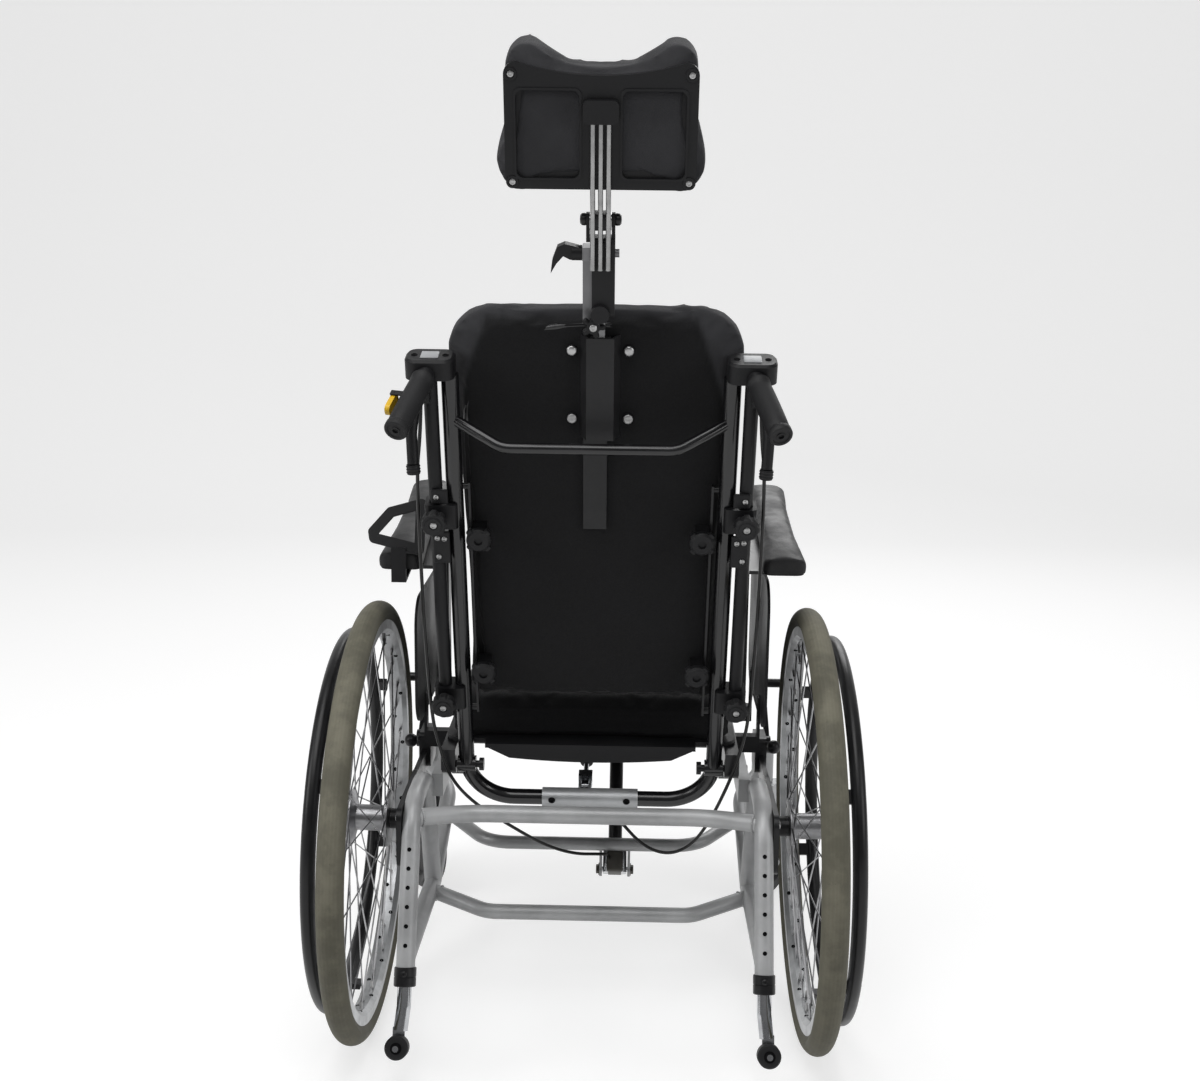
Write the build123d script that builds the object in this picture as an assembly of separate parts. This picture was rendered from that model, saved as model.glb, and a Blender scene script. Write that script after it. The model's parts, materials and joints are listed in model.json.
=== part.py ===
from build123d import *
from math import atan2, cos, degrees, hypot, radians, sin, tan
import os

# Tilt in space wheelchair. Millimetres. +Y is forward, +X is the right side as seen from behind,
# +Z is up. Heights count from the floor and depths (Y) from the rear axle; the export moves the
# origin to the middle of the footprint. Most pieces are made for the right side and mirrored.

# ---- width: the seat cushion sets the places of rails, frames, wheels, canes and armrests ----
cushion_width = 416.0
rail_x = cushion_width / 2 - 9
post_x = cushion_width / 2 + 14
frame_x = cushion_width / 2 + 30
guard_x = cushion_width / 2 + 36
arm_pad_x = cushion_width / 2 + 53
arm_x = frame_x - 17
castor_x = frame_x + 42
wheel_track = 2 * (frame_x + 69)
cane_x = rail_x - 25
rail_strip_x = cane_x - 19
shell_half_width = rail_strip_x + 5
handle_x = cane_x + 24

# ---- drive wheels ----
wheel_diameter = 610.0
wheel_camber = 1.15
tyre_width = 35.0
tyre_depth = 33.0
rim_width = 26.0
rim_depth = 19.0
rim_wall = 3.0
rim_flange = 7.0
handrim_diameter = 532.0
handrim_tube = 19.0
handrim_offset = 34.0
handrim_tabs = 6
spoke_count = 36
spoke_diameter = 2.2
spoke_cross_angle = 62.0
hub_flange_diameter = 78.0
hub_flange_thickness = 4.0
hub_flange_spacing = 52.0
hub_barrel_diameter = 36.0
axle_diameter = 12.7
axle_clearance = 0.05

# ---- side frames ----
frame_tube = 25.4
# the bottom rail is a little thinner than the hoop that is welded on it
rail_tube_diameter = 25.0
hoop_top = 350.0
hoop_rear_y = -65.0
hoop_front_y = 62.0
hoop_bend = 60.0
anti_tip_angle = 22.0
anti_tip_low_z = 142.0
rail_rear_y = -134.0
rail_rear_z = 164.0
rail_mid_y = 135.0
rail_mid_z = 150.0
rail_front_y = 340.0
rail_front_z = 218.0
adjust_hole_count = 6
adjust_hole_pitch = 25.0
adjust_hole_diameter = 6.0
adjust_hole_first = 59.0
collar_diameter = 28.0
collar_length = 24.0

# ---- castors ----
castor_y = 415.0
castor_diameter = 200.0
castor_width = 34.0
castor_trail = 50.0
castor_rest_angle = 24.0
castor_housing_diameter = 36.0
castor_housing_low = 219.0
castor_housing_height = 56.0
castor_stem_diameter = 16.0
fork_gap = 3.0
fork_blade = 5.0

# ---- cross tubes ----
rear_cross_tube = 24.0
rear_cross_y = -30.0
rear_cross_z = 326.0
rear_cross_half = 165.0
rear_cross_end_y = -60.0
lower_cross_tube = 22.0
lower_cross_y = 62.0
lower_cross_z = 138.0
lower_cross_half = 150.0
lower_cross_end_y = 100.0
front_cross_tube = 20.0
front_cross_y = 182.0
front_cross_z = 196.0
front_cross_half = 160.0
front_cross_end_y = 288.0
front_cross_end_z = 199.0
weld_gap = 0.05

# ---- seat support arm and tilt pivot ----
arm_width = 16.0
arm_height = 34.0
arm_rear_y = 66.0
arm_front_y = 240.0
arm_z = 330.0
pivot_y = 150.0
pivot_z = 332.0
pivot_pin_diameter = 14.0
pin_clearance = 0.05

# ---- axle plate and brake ----
plate_thickness = 7.0
plate_length = 178.0
plate_height = 84.0
plate_y = 4.0
plate_z = 306.0
receiver_diameter = 28.0
receiver_inner = 19.0
brake_pivot_y = 215.0
brake_pivot_z = 350.0

# ---- anti-tip ----
anti_tip_tube = 19.0
anti_tip_inserted = 150.0
anti_tip_straight = 26.0
anti_tip_drop = 30.0
anti_tip_out = 3.0
roller_diameter = 31.0
roller_width = 18.0
roller_gap = 5.0
slide_clearance = 0.1

# ---- tilt gas spring ----
tilt_spring_x = 36.0
tilt_low_y = 183.0
tilt_low_z = 155.0
tilt_high_y = 325.0
tilt_high_z = 370.0
tilt_cylinder_diameter = 21.0
tilt_rod_diameter = 10.0
spring_pin_diameter = 8.0
open_pivot_gap = 2.3

# ---- recline gas spring ----
recline_spring_x = -8.0
recline_rear_y = 74.0
recline_rear_z = 330.0
recline_front_y = 340.0
recline_front_z = 361.0
recline_cylinder_diameter = 20.0
recline_rod_diameter = 8.0

# ---- seat ----
rail_width = 20.0
rail_height = 30.0
rail_low_z = 372.0
rail_rear_end_y = 14.0
rail_front_end_y = 455.0
rail_wall = 2.5
legrest_socket_length = 80.0
seat_cross_tube = 22.0
seat_cross_rear_y = 120.0
seat_cross_front_y = 345.0
seat_cross_z = 387.0
pan_thickness = 6.0
pan_gap = 0.4
pan_length = 425.0
pan_rear_y = 44.0
pan_tongue_half = cane_x - 26
pan_tongue_y = 24.0
cushion_side_height = 46.0
cushion_crown = 14.0
cushion_rear_y = 40.0
cushion_length = 430.0
guard_thickness = 4.0
guard_low_z = 428.0
guard_left_high_z = 612.0
guard_right_high_z = 642.0
guard_rear_y = 26.0
guard_length = 290.0
guard_corner = 42.0
post_y = 190.0
post_width = 12.0
post_depth = 26.0
arm_pad_width = 66.0
arm_pad_length = 350.0
arm_pad_rear_y = 6.0
arm_pad_low_z = 657.0
arm_pad_height = 30.0
arm_pad_slope = 8.0
loop_reach = 82.0
loop_high_z = 765.0
loop_low_z = 684.0
loop_slant = 22.0
loop_band = 14.0
loop_thickness = 4.0

# ---- back: its own upright frame, leaned about the point (0, 0, lean_z) ----
lean_angle = 17.0
lean_z = 479.0
cane_tube = 22.0
cane_top = 483.0
cane_low = -164.0
cane_bend = 66.0
recline_height = -108.0
recline_pin_diameter = 10.0
sleeve_diameter = 28.0
sleeve_half_length = 68.0
cross_bar_tube = 14.0
cross_bar_height = 402.0
cross_bar_back = 40.0
cross_bar_half = 108.0
cross_bar_end_height = 424.0
rail_strip_width = 9.0
rail_strip_thickness = 3.0
rail_strip_low = -16.0
rail_strip_high = 336.0
rail_strip_hole_pitch = 22.0
shell_low = 10.0
shell_side_top = 425.0
shell_shoulder_x = 95.0
shell_shoulder = 531.0
shell_arch_top = 546.0
shell_front = 20.0
shell_thickness = 5.0
shell_bead = 4.0
hook_heights = (58.0, 262.0)
back_cushion_half = cane_x + 19
back_cushion_shift = 5.0
back_cushion_low = -14.0
back_cushion_top = 574.0
back_cushion_back = 20.6
back_cushion_edge = 42.0
back_cushion_crown = 22.0

# ---- push handles ----
handle_back = 4.0
handle_tube = 18.0
handle_low = -20.0
handle_top = 494.0
handle_cap_inner = 32.0
handle_cap_outer = 28.0
handle_cap_height = 26.0
handle_cap_depth = 44.0
grip_diameter = 29.0
grip_length = 100.0
grip_start = 16.0
grip_out_angle = 13.5
grip_drop_angle = 33.5
clamp_heights = (14.0, 293.0)
clamp_height = 34.0
knob_diameter = 33.0
knob_length = 13.0
knob_back = 28.0

# ---- yellow lever, along the left grip ----
lever_pivot_share = 0.42
lever_gap = 4.0
lever_thickness = 6.0
lever_length = 27.0
lever_half_height = 7.0
lever_pin_diameter = 4.0

# ---- headrest, in the back's frame ----
headrest_x = 11.0
bracket_half_width = 44.0
bracket_low = 401.0
bracket_high = 532.0
bracket_bolt_x = 35.0
bracket_bolt_low = 423.0
bracket_bolt_high = 513.0
channel_width = 40.0
channel_depth = 16.0
lower_channel_width = 30.0
lower_channel_low = 267.0
lower_channel_shift = -6.0
headrest_post_width = 11.0
headrest_post_low = 420.0
headrest_post_back = 9.0
block_left = -10.0
block_width = 27.0
block_low = 556.0
block_height = 104.0
block_depth = 26.0
rod_count = 3
rod_diameter = 6.0
rod_pitch = 9.0
rod_pivot_rise = 20.0
rod_length = 127.0
rod_tail = 56.0
rod_back = 30.0
rod_clamp_half_width = 12.6
clamp_ear_thickness = 4.0
head_plate_half_width = 108.0
head_plate_height = 140.0
head_plate_dip = 14.0
head_plate_thickness = 8.0
head_plate_above_rods = 53.0
window_inner_x = 24.0
window_margin = 13.0
window_top_margin = 30.0
head_pad_depth = 52.0
head_pad_half_width = 120.0
head_pad_height = 172.0
head_pad_above_plate = 22.0
head_pad_dip = 20.0

# ---- cables ----
cable_radius = 2.4

wheel_radius = wheel_diameter / 2
tyre_tube_radius = tyre_width / 2
camber = radians(wheel_camber)
axle_height = (wheel_radius - tyre_tube_radius) * cos(camber) + tyre_tube_radius
castor_radius = castor_diameter / 2
tube_radius = frame_tube / 2
rail_radius = rail_tube_diameter / 2
tip_angle = radians(anti_tip_angle)
block_high = block_low + block_height
block_pin_height = block_high - 20
post_right = block_left - 0.4
post_left = post_right - headrest_post_width
rod_pivot_height = block_high + rod_pivot_rise
rod_top = rod_pivot_height + rod_length
head_plate_high = rod_top + head_plate_above_rods
head_plate_low = head_plate_high - head_plate_height


# ---------------------------------------------------------------- helpers

def bar(start, end, radius):
    """Round bar from one point to another."""
    axis = Vector(*end) - Vector(*start)
    return extrude(Plane(origin=start, z_dir=axis) * Circle(radius), axis.length)


def tube_along(points, radius, bend):
    """Round tube along straight runs joined by arcs of one radius or a list of them."""
    path = FilletPolyline(*points, radius=bend)
    return sweep(Plane(origin=path @ 0, z_dir=path % 0) * Circle(radius), path=path)


def block(x_range, y_range, z_range):
    """Box between three pairs of limits."""
    size = [high - low for low, high in (x_range, y_range, z_range)]
    middle = [(high + low) / 2 for low, high in (x_range, y_range, z_range)]
    return Pos(*middle) * Box(*size)


def disc_x(x_range, y, z, radius):
    """Disc with its axis along X."""
    return bar((x_range[0], y, z), (x_range[1], y, z), radius)


def plate_x(outline, x_range):
    """Plate cut to an outline in Y and Z, between two X limits."""
    face = make_face(Plane.YZ * outline)
    return Pos(x_range[0], 0, 0) * extrude(face, x_range[1] - x_range[0], dir=(1, 0, 0))


def both_sides(shape):
    """A right-hand piece and its mirror image."""
    return shape, mirror(shape, about=Plane.YZ)


def leaned(shape):
    """A piece of the back, turned from upright to the angle of the back."""
    return Pos(0, 0, lean_z) * Rot(lean_angle, 0, 0) * shape


# ---------------------------------------------------------------- drive wheels

def on_right_axle(shape):
    """A wheel piece, made about the X axis, in its place on the right axle."""
    return Pos(wheel_track / 2, 0, axle_height) * Rot(0, -wheel_camber, 0) * shape


def ring_about_x(outline):
    """Ring turned about the X axis from an outline in X and Y."""
    return revolve(make_face(outline), axis=Axis.X)


def wheel_tyre():
    """Solid tyre: round tread, flatter flanks, a foot that sits in the rim."""
    half = tyre_width / 2
    inner = wheel_radius - tyre_depth
    foot = rim_width / 2 - rim_wall - 0.2
    shoulder = inner + rim_flange + 0.2
    flank = wheel_radius - 0.5 * tyre_depth
    outline = Polyline((-half, flank), (-rim_width / 2, shoulder), (-foot, shoulder), (-foot, inner),
                       (foot, inner), (foot, shoulder), (rim_width / 2, shoulder), (half, flank))
    outline += ThreePointArc((half, flank), (0, wheel_radius), (-half, flank))
    return on_right_axle(ring_about_x(outline))


def wheel_rim():
    """Rim: a channel with two flanges that hold the tyre's foot."""
    half = rim_width / 2
    seat = wheel_radius - tyre_depth - 0.2
    flange = seat + rim_flange
    inner = flange - rim_depth
    points = [(-half, flange), (-half, inner + 6), (-half / 2, inner), (half / 2, inner), (half, inner + 6),
              (half, flange), (half - rim_wall, flange), (half - rim_wall, seat),
              (-half + rim_wall, seat), (-half + rim_wall, flange)]
    return on_right_axle(ring_about_x(Polyline(*points, close=True)))


def wheel_spokes():
    """Hub with its two flanges, plug-in axle, and the spokes laced to the rim."""
    half = hub_flange_spacing / 2
    flange_radius = hub_flange_diameter / 2
    barrel_radius = hub_barrel_diameter / 2
    points = [(-half - 2, 0), (-half - 2, flange_radius), (-half + hub_flange_thickness - 2, flange_radius),
              (-half + 8, barrel_radius), (half - 8, barrel_radius),
              (half - hub_flange_thickness + 2, flange_radius), (half + 2, flange_radius),
              (half + 2, 14), (half + 12, 12), (half + 12, 0)]
    hub = ring_about_x(Polyline(*points, close=True))
    axle_inner = -wheel_track / 2 + frame_x + tube_radius + 3
    hub += bar((axle_inner, 0, 0), (-half, 0, 0), axle_diameter / 2)
    spoke_end = wheel_radius - tyre_depth + rim_flange - rim_depth - 0.4
    hole_radius = flange_radius - 5
    step = 360 / spoke_count
    pieces = []
    for index in range(spoke_count):
        side = -1 if index % 2 else 1
        lean = spoke_cross_angle if (index // 2) % 2 else -spoke_cross_angle
        head = 1.6 if (index // 2) % 2 else -1.6
        rim_angle = radians(index * step)
        hub_angle = rim_angle + radians(lean)
        start = (side * half + head, hole_radius * cos(hub_angle), hole_radius * sin(hub_angle))
        end = (side * 2.5, spoke_end * cos(rim_angle), spoke_end * sin(rim_angle))
        run = Vector(*end) - Vector(*start)
        section = Plane(origin=start, z_dir=run) * RegularPolygon(spoke_diameter / 2, 4)
        pieces.append(extrude(section, run.length))
    return on_right_axle(hub.fuse(*pieces))


def wheel_handrim():
    """Handrim: a tube ring with the tabs that carry it from the rim."""
    ring_radius = (handrim_diameter - handrim_tube) / 2
    ring = ring_about_x(Pos(handrim_offset, ring_radius) * Circle(handrim_tube / 2).wire())
    rim_flank = rim_width / 2 + 0.1
    tab = block((rim_flank, handrim_offset - 4), (ring_radius - 6, ring_radius + 2), (-9, 9))
    for index in range(handrim_tabs):
        ring += Rot(30 + index * 360 / handrim_tabs, 0, 0) * tab
    return on_right_axle(ring)


# ---------------------------------------------------------------- chassis

def anti_tip_point(height):
    """Point on the axis of the slanted rear leg at a height."""
    return (frame_x, hoop_rear_y - (hoop_top - height) * tan(tip_angle), height)


def along_leg(distance, shape):
    """A piece made along Z, set on the rear leg at a distance below the top corner."""
    corner = (frame_x, hoop_rear_y, hoop_top)
    return Pos(*corner) * Rot(-anti_tip_angle, 0, 0) * Pos(0, 0, -distance) * shape


def hoop_tube(radius):
    """Bent tube over the axle: its rear leg takes the anti-tip tube, its front leg meets the rail."""
    points = [anti_tip_point(anti_tip_low_z), (frame_x, hoop_rear_y, hoop_top),
              (frame_x, hoop_front_y, hoop_top), (frame_x, rail_mid_y, rail_mid_z)]
    return tube_along(points, radius, hoop_bend)


def rail_tube(radius):
    """Bottom rail from the rear leg of the hoop to the castor housing."""
    points = [(frame_x, rail_rear_y, rail_rear_z), (frame_x, rail_mid_y, rail_mid_z),
              (frame_x, rail_front_y, rail_front_z), (castor_x, castor_y, castor_housing_low + 20)]
    return tube_along(points, radius, 90)


def side_frame():
    """Right side frame: bent tubes, collar, castor housing and seat support arm."""
    frame = hoop_tube(tube_radius) + rail_tube(rail_radius)
    leg_low = (hoop_top - anti_tip_low_z) / cos(tip_angle)
    frame += along_leg(leg_low, Cylinder(collar_diameter / 2, collar_length))
    housing_top = castor_housing_low + castor_housing_height
    frame += bar((castor_x, castor_y, castor_housing_low), (castor_x, castor_y, housing_top),
                 castor_housing_diameter / 2)
    frame += seat_support_arm()
    bore = along_leg(leg_low - anti_tip_inserted / 2 + collar_length / 2,
                     Cylinder(anti_tip_tube / 2 + slide_clearance, anti_tip_inserted + collar_length))
    frame -= bore
    frame -= bar((castor_x, castor_y, castor_housing_low - 1), (castor_x, castor_y, housing_top - 12),
                 castor_stem_diameter / 2 + pin_clearance)
    for index in range(adjust_hole_count):
        distance = adjust_hole_first + index * adjust_hole_pitch
        hole = Pos(0, -tube_radius, 0) * Rot(90, 0, 0) * Cylinder(adjust_hole_diameter / 2, frame_tube)
        frame -= along_leg(distance, hole)
    return frame


def seat_support_arm():
    """Channel arm on the inside of the hoop that carries the tilt pivot near its front end."""
    half = arm_height / 2
    inner, outer = arm_x - arm_width / 2, arm_x + arm_width / 2
    arm = block((inner, outer), (arm_rear_y, arm_front_y), (arm_z - half, arm_z + half))
    arm += disc_x((inner, outer), arm_front_y, arm_z, half)
    arm -= disc_x((inner - 1, outer + 1), pivot_y, pivot_z, pivot_pin_diameter / 2 + pin_clearance)
    for y in (arm_front_y - 22, arm_front_y):
        arm -= disc_x((inner - 1, outer + 1), y, arm_z, 4)
    return arm


def cross_tube(middle, end, half_straight, radius, bend, met):
    """Cross tube: a straight middle whose ends turn to meet a tube of the side frames."""
    reach = frame_x - 7
    points = [(-reach, end[0], end[1]), (-half_straight, middle[0], middle[1]),
              (half_straight, middle[0], middle[1]), (reach, end[0], end[1])]
    tube = tube_along(points, radius, bend)
    right, left = both_sides(met)
    pieces = (tube - right - left).solids()
    return max(pieces, key=lambda piece: piece.volume)


def cross_tubes():
    """The rear, lower and front cross tubes, the front one with the ears of the tilt gas spring."""
    hoop, rail = hoop_tube(tube_radius + weld_gap), rail_tube(rail_radius + weld_gap)
    rear = cross_tube((rear_cross_y, rear_cross_z), (rear_cross_end_y, rear_cross_z + 5), rear_cross_half,
                      rear_cross_tube / 2, 150, hoop)
    lower = cross_tube((lower_cross_y, lower_cross_z), (lower_cross_end_y, rail_mid_z), lower_cross_half,
                       lower_cross_tube / 2, 60, rail)
    front = cross_tube((front_cross_y, front_cross_z), (front_cross_end_y, front_cross_end_z),
                       front_cross_half, front_cross_tube / 2, 65, rail)
    for side in (-1, 1):
        x = tilt_spring_x + side * 21.5
        ear = block((x - 2, x + 2), (tilt_low_y - 10, front_cross_y + 8), (tilt_low_z, front_cross_z))
        ear += disc_x((x - 2, x + 2), tilt_low_y, tilt_low_z, 11)
        front += ear - disc_x((x - 3, x + 3), tilt_low_y, tilt_low_z, spring_pin_diameter / 2 + pin_clearance)
    return Compound(children=[rear, lower, front])


def axle_plate():
    """Right axle plate with its receiver, the arm of the parking brake and the brake's body."""
    inner = frame_x + tube_radius + 0.1
    plate = block((inner, inner + plate_thickness),
                  (plate_y - plate_length / 2, plate_y + plate_length / 2),
                  (plate_z - plate_height / 2, plate_z + plate_height / 2))
    plate = fillet(plate.edges().filter_by(Axis.X), 16)
    receiver_end = -hub_flange_spacing / 2 - 2.6
    receiver_start = inner + plate_thickness / 2 - wheel_track / 2
    receiver = bar((receiver_start, 0, 0), (receiver_end, 0, 0), receiver_diameter / 2)
    plate += on_right_axle(receiver)
    plate -= on_right_axle(bar((receiver_start - 20, 0, 0), (receiver_end + 1, 0, 0),
                               axle_diameter / 2 + axle_clearance))
    strip = block((inner, inner + plate_thickness), (plate_y + 40, brake_pivot_y), (318, 346))
    body = block((inner - 6, inner + 11), (brake_pivot_y - 44, brake_pivot_y + 14), (318, 372))
    body = fillet(body.edges().filter_by(Axis.X), 8)
    return plate + strip + body


def brake_lever():
    """Parking brake lever: hub on the brake's body, handle with its ball, arm with the shoe."""
    inner = frame_x + tube_radius + 11.4
    outer = inner + 9
    y, z = brake_pivot_y, brake_pivot_z
    knob = (y - 76, z + 22)
    shoe = (y + 107, z + 66)
    lever = disc_x((inner, outer), y, z, 13)
    lever += bar(((inner + outer) / 2, y, z), ((inner + outer) / 2 + 2.5, knob[0], knob[1]), 4)
    lever += Pos((inner + outer) / 2 + 2.5, *knob) * Sphere(10)
    lever += bar(((inner + outer) / 2, y, z), ((inner + outer) / 2, shoe[0], shoe[1]), 4.4)
    lever += bar((inner, shoe[0], shoe[1]), (wheel_track / 2 + tyre_width / 2 - 2, shoe[0], shoe[1]), 7)
    return lever


# ---------------------------------------------------------------- castors

def castor_frame(shape):
    """A castor piece, made about its swivel axis with the wheel ahead, in its place at rest."""
    return Pos(castor_x, castor_y, 0) * Rot(0, 0, -castor_rest_angle) * shape


def castor_fork():
    """Fork: stem in the housing, crown and two blades down to the castor's axle."""
    inner = castor_width / 2 + fork_gap
    outer = inner + fork_blade
    crown_low = castor_diameter + 3
    crown_high = castor_housing_low - 1.2
    fork = block((-outer, outer), (-17, 20), (crown_low, crown_high))
    for side in (-1, 1):
        xs = sorted((side * inner, side * outer))
        outline = Polyline((-17, crown_high), (20, crown_high), (castor_trail + 12, castor_radius),
                           (castor_trail, castor_radius - 12), (castor_trail - 12, castor_radius), close=True)
        fork += plate_x(outline, xs)
    stem_top = castor_housing_low + castor_housing_height - 14
    fork += bar((0, 0, crown_high - 1), (0, 0, stem_top), castor_stem_diameter / 2)
    fork += bar((0, 0, crown_high - 1), (0, 0, castor_housing_low - 0.3), castor_housing_diameter / 2 - 3)
    fork += disc_x((-outer - 3, outer + 3), castor_trail, castor_radius, 4)
    return castor_frame(fork)


def castor_wheel():
    """Solid castor wheel with a dished core, free on the fork's axle bolt."""
    half = castor_width / 2
    hub_half = half + fork_gap - 0.5
    bore = 4 + pin_clearance
    points = [(-hub_half, bore), (-hub_half, 17), (-6, 26), (-6, castor_radius - 28),
              (-half + 3, castor_radius - 22), (-half, castor_radius - 10)]
    outline = Polyline(*points)
    outline += ThreePointArc((-half, castor_radius - 10), (0, castor_radius), (half, castor_radius - 10))
    outline += Polyline(*[(-x, y) for x, y in reversed(points)])
    outline += Line((hub_half, bore), (-hub_half, bore))
    wheel = ring_about_x(outline)
    return castor_frame(Pos(0, castor_trail, castor_radius) * wheel)


# ---------------------------------------------------------------- anti-tip

def anti_tip_pieces():
    """Telescoped tube with its bent foot, and the roller on the foot's bolt."""
    leg_low = (hoop_top - anti_tip_low_z) / cos(tip_angle)
    start = leg_low - anti_tip_inserted + 4
    knee = leg_low + collar_length / 2 + anti_tip_straight
    tube = tube_along([(0, 0, -start), (0, 0, -knee), (anti_tip_out, 0, -knee - anti_tip_drop)],
                      anti_tip_tube / 2, 24)
    bolt_z = -knee - anti_tip_drop - roller_diameter / 2 - roller_gap
    bolt_x = anti_tip_out + 2
    ear = block((bolt_x - 8, bolt_x + 8), (-3, 3), (bolt_z, -knee - anti_tip_drop + 4))
    ear += Pos(bolt_x, 0, bolt_z) * Rot(90, 0, 0) * Cylinder(8, 6)
    bolt = Pos(bolt_x, -roller_width / 2 - 4, bolt_z) * Rot(90, 0, 0) * Cylinder(4, roller_width + 14)
    roller_ring = Circle(roller_diameter / 2) - Circle(4 + pin_clearance)
    roller = Pos(bolt_x, -4, bolt_z) * Rot(90, 0, 0) * extrude(roller_ring, roller_width)
    roller = chamfer(roller.edges().filter_by(GeomType.CIRCLE).sort_by(Axis.Y)[0], 2)
    return along_leg(0, tube + ear + bolt), along_leg(0, roller)


# ---------------------------------------------------------------- gas springs

def aligned(shape, x, low, high):
    """A piece made along Z from the origin, turned to point from one (y, z) place to another."""
    angle = degrees(atan2(low[0] - high[0], high[1] - low[1]))
    return Pos(x, low[0], low[1]) * Rot(angle, 0, 0) * shape


def eye(radius, half_width, hole):
    """Ring end of a gas spring, its hole along X."""
    return disc_x((-half_width, half_width), 0, 0, radius) - disc_x((-half_width - 1, half_width + 1), 0, 0, hole)


def tilt_spring():
    """Tilt gas spring: rod with the release head on the frame, cylinder under the seat."""
    low, high = (tilt_low_y, tilt_low_z), (tilt_high_y, tilt_high_z)
    length = hypot(high[0] - low[0], high[1] - low[1])
    head = block((-18, 18), (-12, 12), (-6, 26)) - disc_x((-20, 20), 0, 0, spring_pin_diameter / 2 - 0.5)
    head = fillet(head.edges().filter_by(Axis.Z), 5)
    head += disc_x((-24, 24), 0, 0, spring_pin_diameter / 2)
    rod = head + bar((0, 0, 25), (0, 0, length - 40), tilt_rod_diameter / 2)
    cylinder = bar((0, 0, 44), (0, 0, length - 14), tilt_cylinder_diameter / 2)
    cylinder -= bar((0, 0, 43), (0, 0, length - 30), tilt_rod_diameter / 2 + slide_clearance)
    cylinder += block((-5, 5), (-8, 8), (length - 15, length))
    cylinder += Pos(0, 0, length) * eye(9, 5, 4)
    cylinder -= Pos(0, 0, length) * disc_x((-8, 8), 0, 0, spring_pin_diameter / 2 + open_pivot_gap)
    return (aligned(rod, tilt_spring_x, low, high), aligned(cylinder, tilt_spring_x, low, high))


def recline_spring():
    """Recline gas spring: cylinder pinned under the seat, rod to the sleeve of the back frame."""
    low, high = (recline_front_y, recline_front_z), (recline_rear_y, recline_rear_z)
    length = hypot(high[0] - low[0], high[1] - low[1])
    cylinder = bar((0, 0, 13), (0, 0, length - 80), recline_cylinder_diameter / 2)
    cylinder += block((-5, 5), (-7, 7), (0, 14)) + eye(8, 5, 1)
    cylinder -= disc_x((-8, 8), 0, 0, spring_pin_diameter / 2 + pin_clearance)
    cylinder -= bar((0, 0, 30), (0, 0, length), recline_rod_diameter / 2 + slide_clearance)
    rod = bar((0, 0, 70), (0, 0, length - 6), recline_rod_diameter / 2)
    rod += block((-10, 10), (-9, 9), (length - 34, length - 14))
    rod += Pos(0, 0, length) * eye(9, 5, 2)
    rod -= Pos(0, 0, length) * disc_x((-8, 8), 0, 0, spring_pin_diameter / 2 + open_pivot_gap)
    return (aligned(cylinder, recline_spring_x, low, high), aligned(rod, recline_spring_x, low, high))


# ---------------------------------------------------------------- seat

def pivot_world():
    """World Y and Z of the recline pivot, a place on the leaned canes."""
    angle = radians(lean_angle)
    return -recline_height * sin(angle), lean_z + recline_height * cos(angle)


def seat_frame():
    """Seat frame: two rails open at the front for the legrests, two cross tubes, all its pivots."""
    rail_high = rail_low_z + rail_height
    half = rail_width / 2
    recline_y, recline_z = pivot_world()
    right = block((rail_x - half, rail_x + half), (rail_rear_end_y, rail_front_end_y), (rail_low_z, rail_high))
    socket = block((rail_x - half + rail_wall, rail_x + half - rail_wall),
                   (rail_front_end_y - legrest_socket_length, rail_front_end_y + 1),
                   (rail_low_z + rail_wall, rail_high - rail_wall))
    right -= socket
    bracket = Polyline((pivot_y - 34, rail_low_z + 1), (pivot_y + 34, rail_low_z + 1), (pivot_y + 13, pivot_z),
                       (pivot_y - 13, pivot_z), close=True)
    right += plate_x(bracket, (rail_x - half, rail_x + half))
    right += disc_x((rail_x - half, rail_x + half), pivot_y, pivot_z, 14)
    right += disc_x((rail_x, arm_x + arm_width / 2 + 3), pivot_y, pivot_z, pivot_pin_diameter / 2)
    right += disc_x((cane_x - 18, rail_x), recline_y, recline_z, recline_pin_diameter / 2)
    right += disc_x((cane_x - 24, cane_x - 17.5), recline_y, recline_z, 9)
    right += disc_x((rail_x - half, rail_x + half), recline_y, recline_z, 13)
    frame = right + mirror(right, about=Plane.YZ)
    for y in (seat_cross_rear_y, seat_cross_front_y):
        frame += bar((-rail_x, y, seat_cross_z), (rail_x, y, seat_cross_z), seat_cross_tube / 2)
    frame += spring_ears(tilt_spring_x, tilt_high_y, tilt_high_z)
    frame += spring_ears(recline_spring_x, recline_front_y, recline_front_z)
    return frame


def spring_ears(x, y, z):
    """Two ears under the front cross tube with the pin of a gas spring through them."""
    ears = disc_x((x - 10, x + 10), y, z, spring_pin_diameter / 2)
    for side in (-1, 1):
        xs = sorted((x + side * 6, x + side * 9))
        outline = Polyline((y - 9, z - 4), (y + 9, z - 4), (seat_cross_front_y + 9, seat_cross_z),
                           (seat_cross_front_y - 9, seat_cross_z), close=True)
        ears += plate_x(outline, xs) + disc_x(xs, y, z, 9)
    return ears


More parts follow.
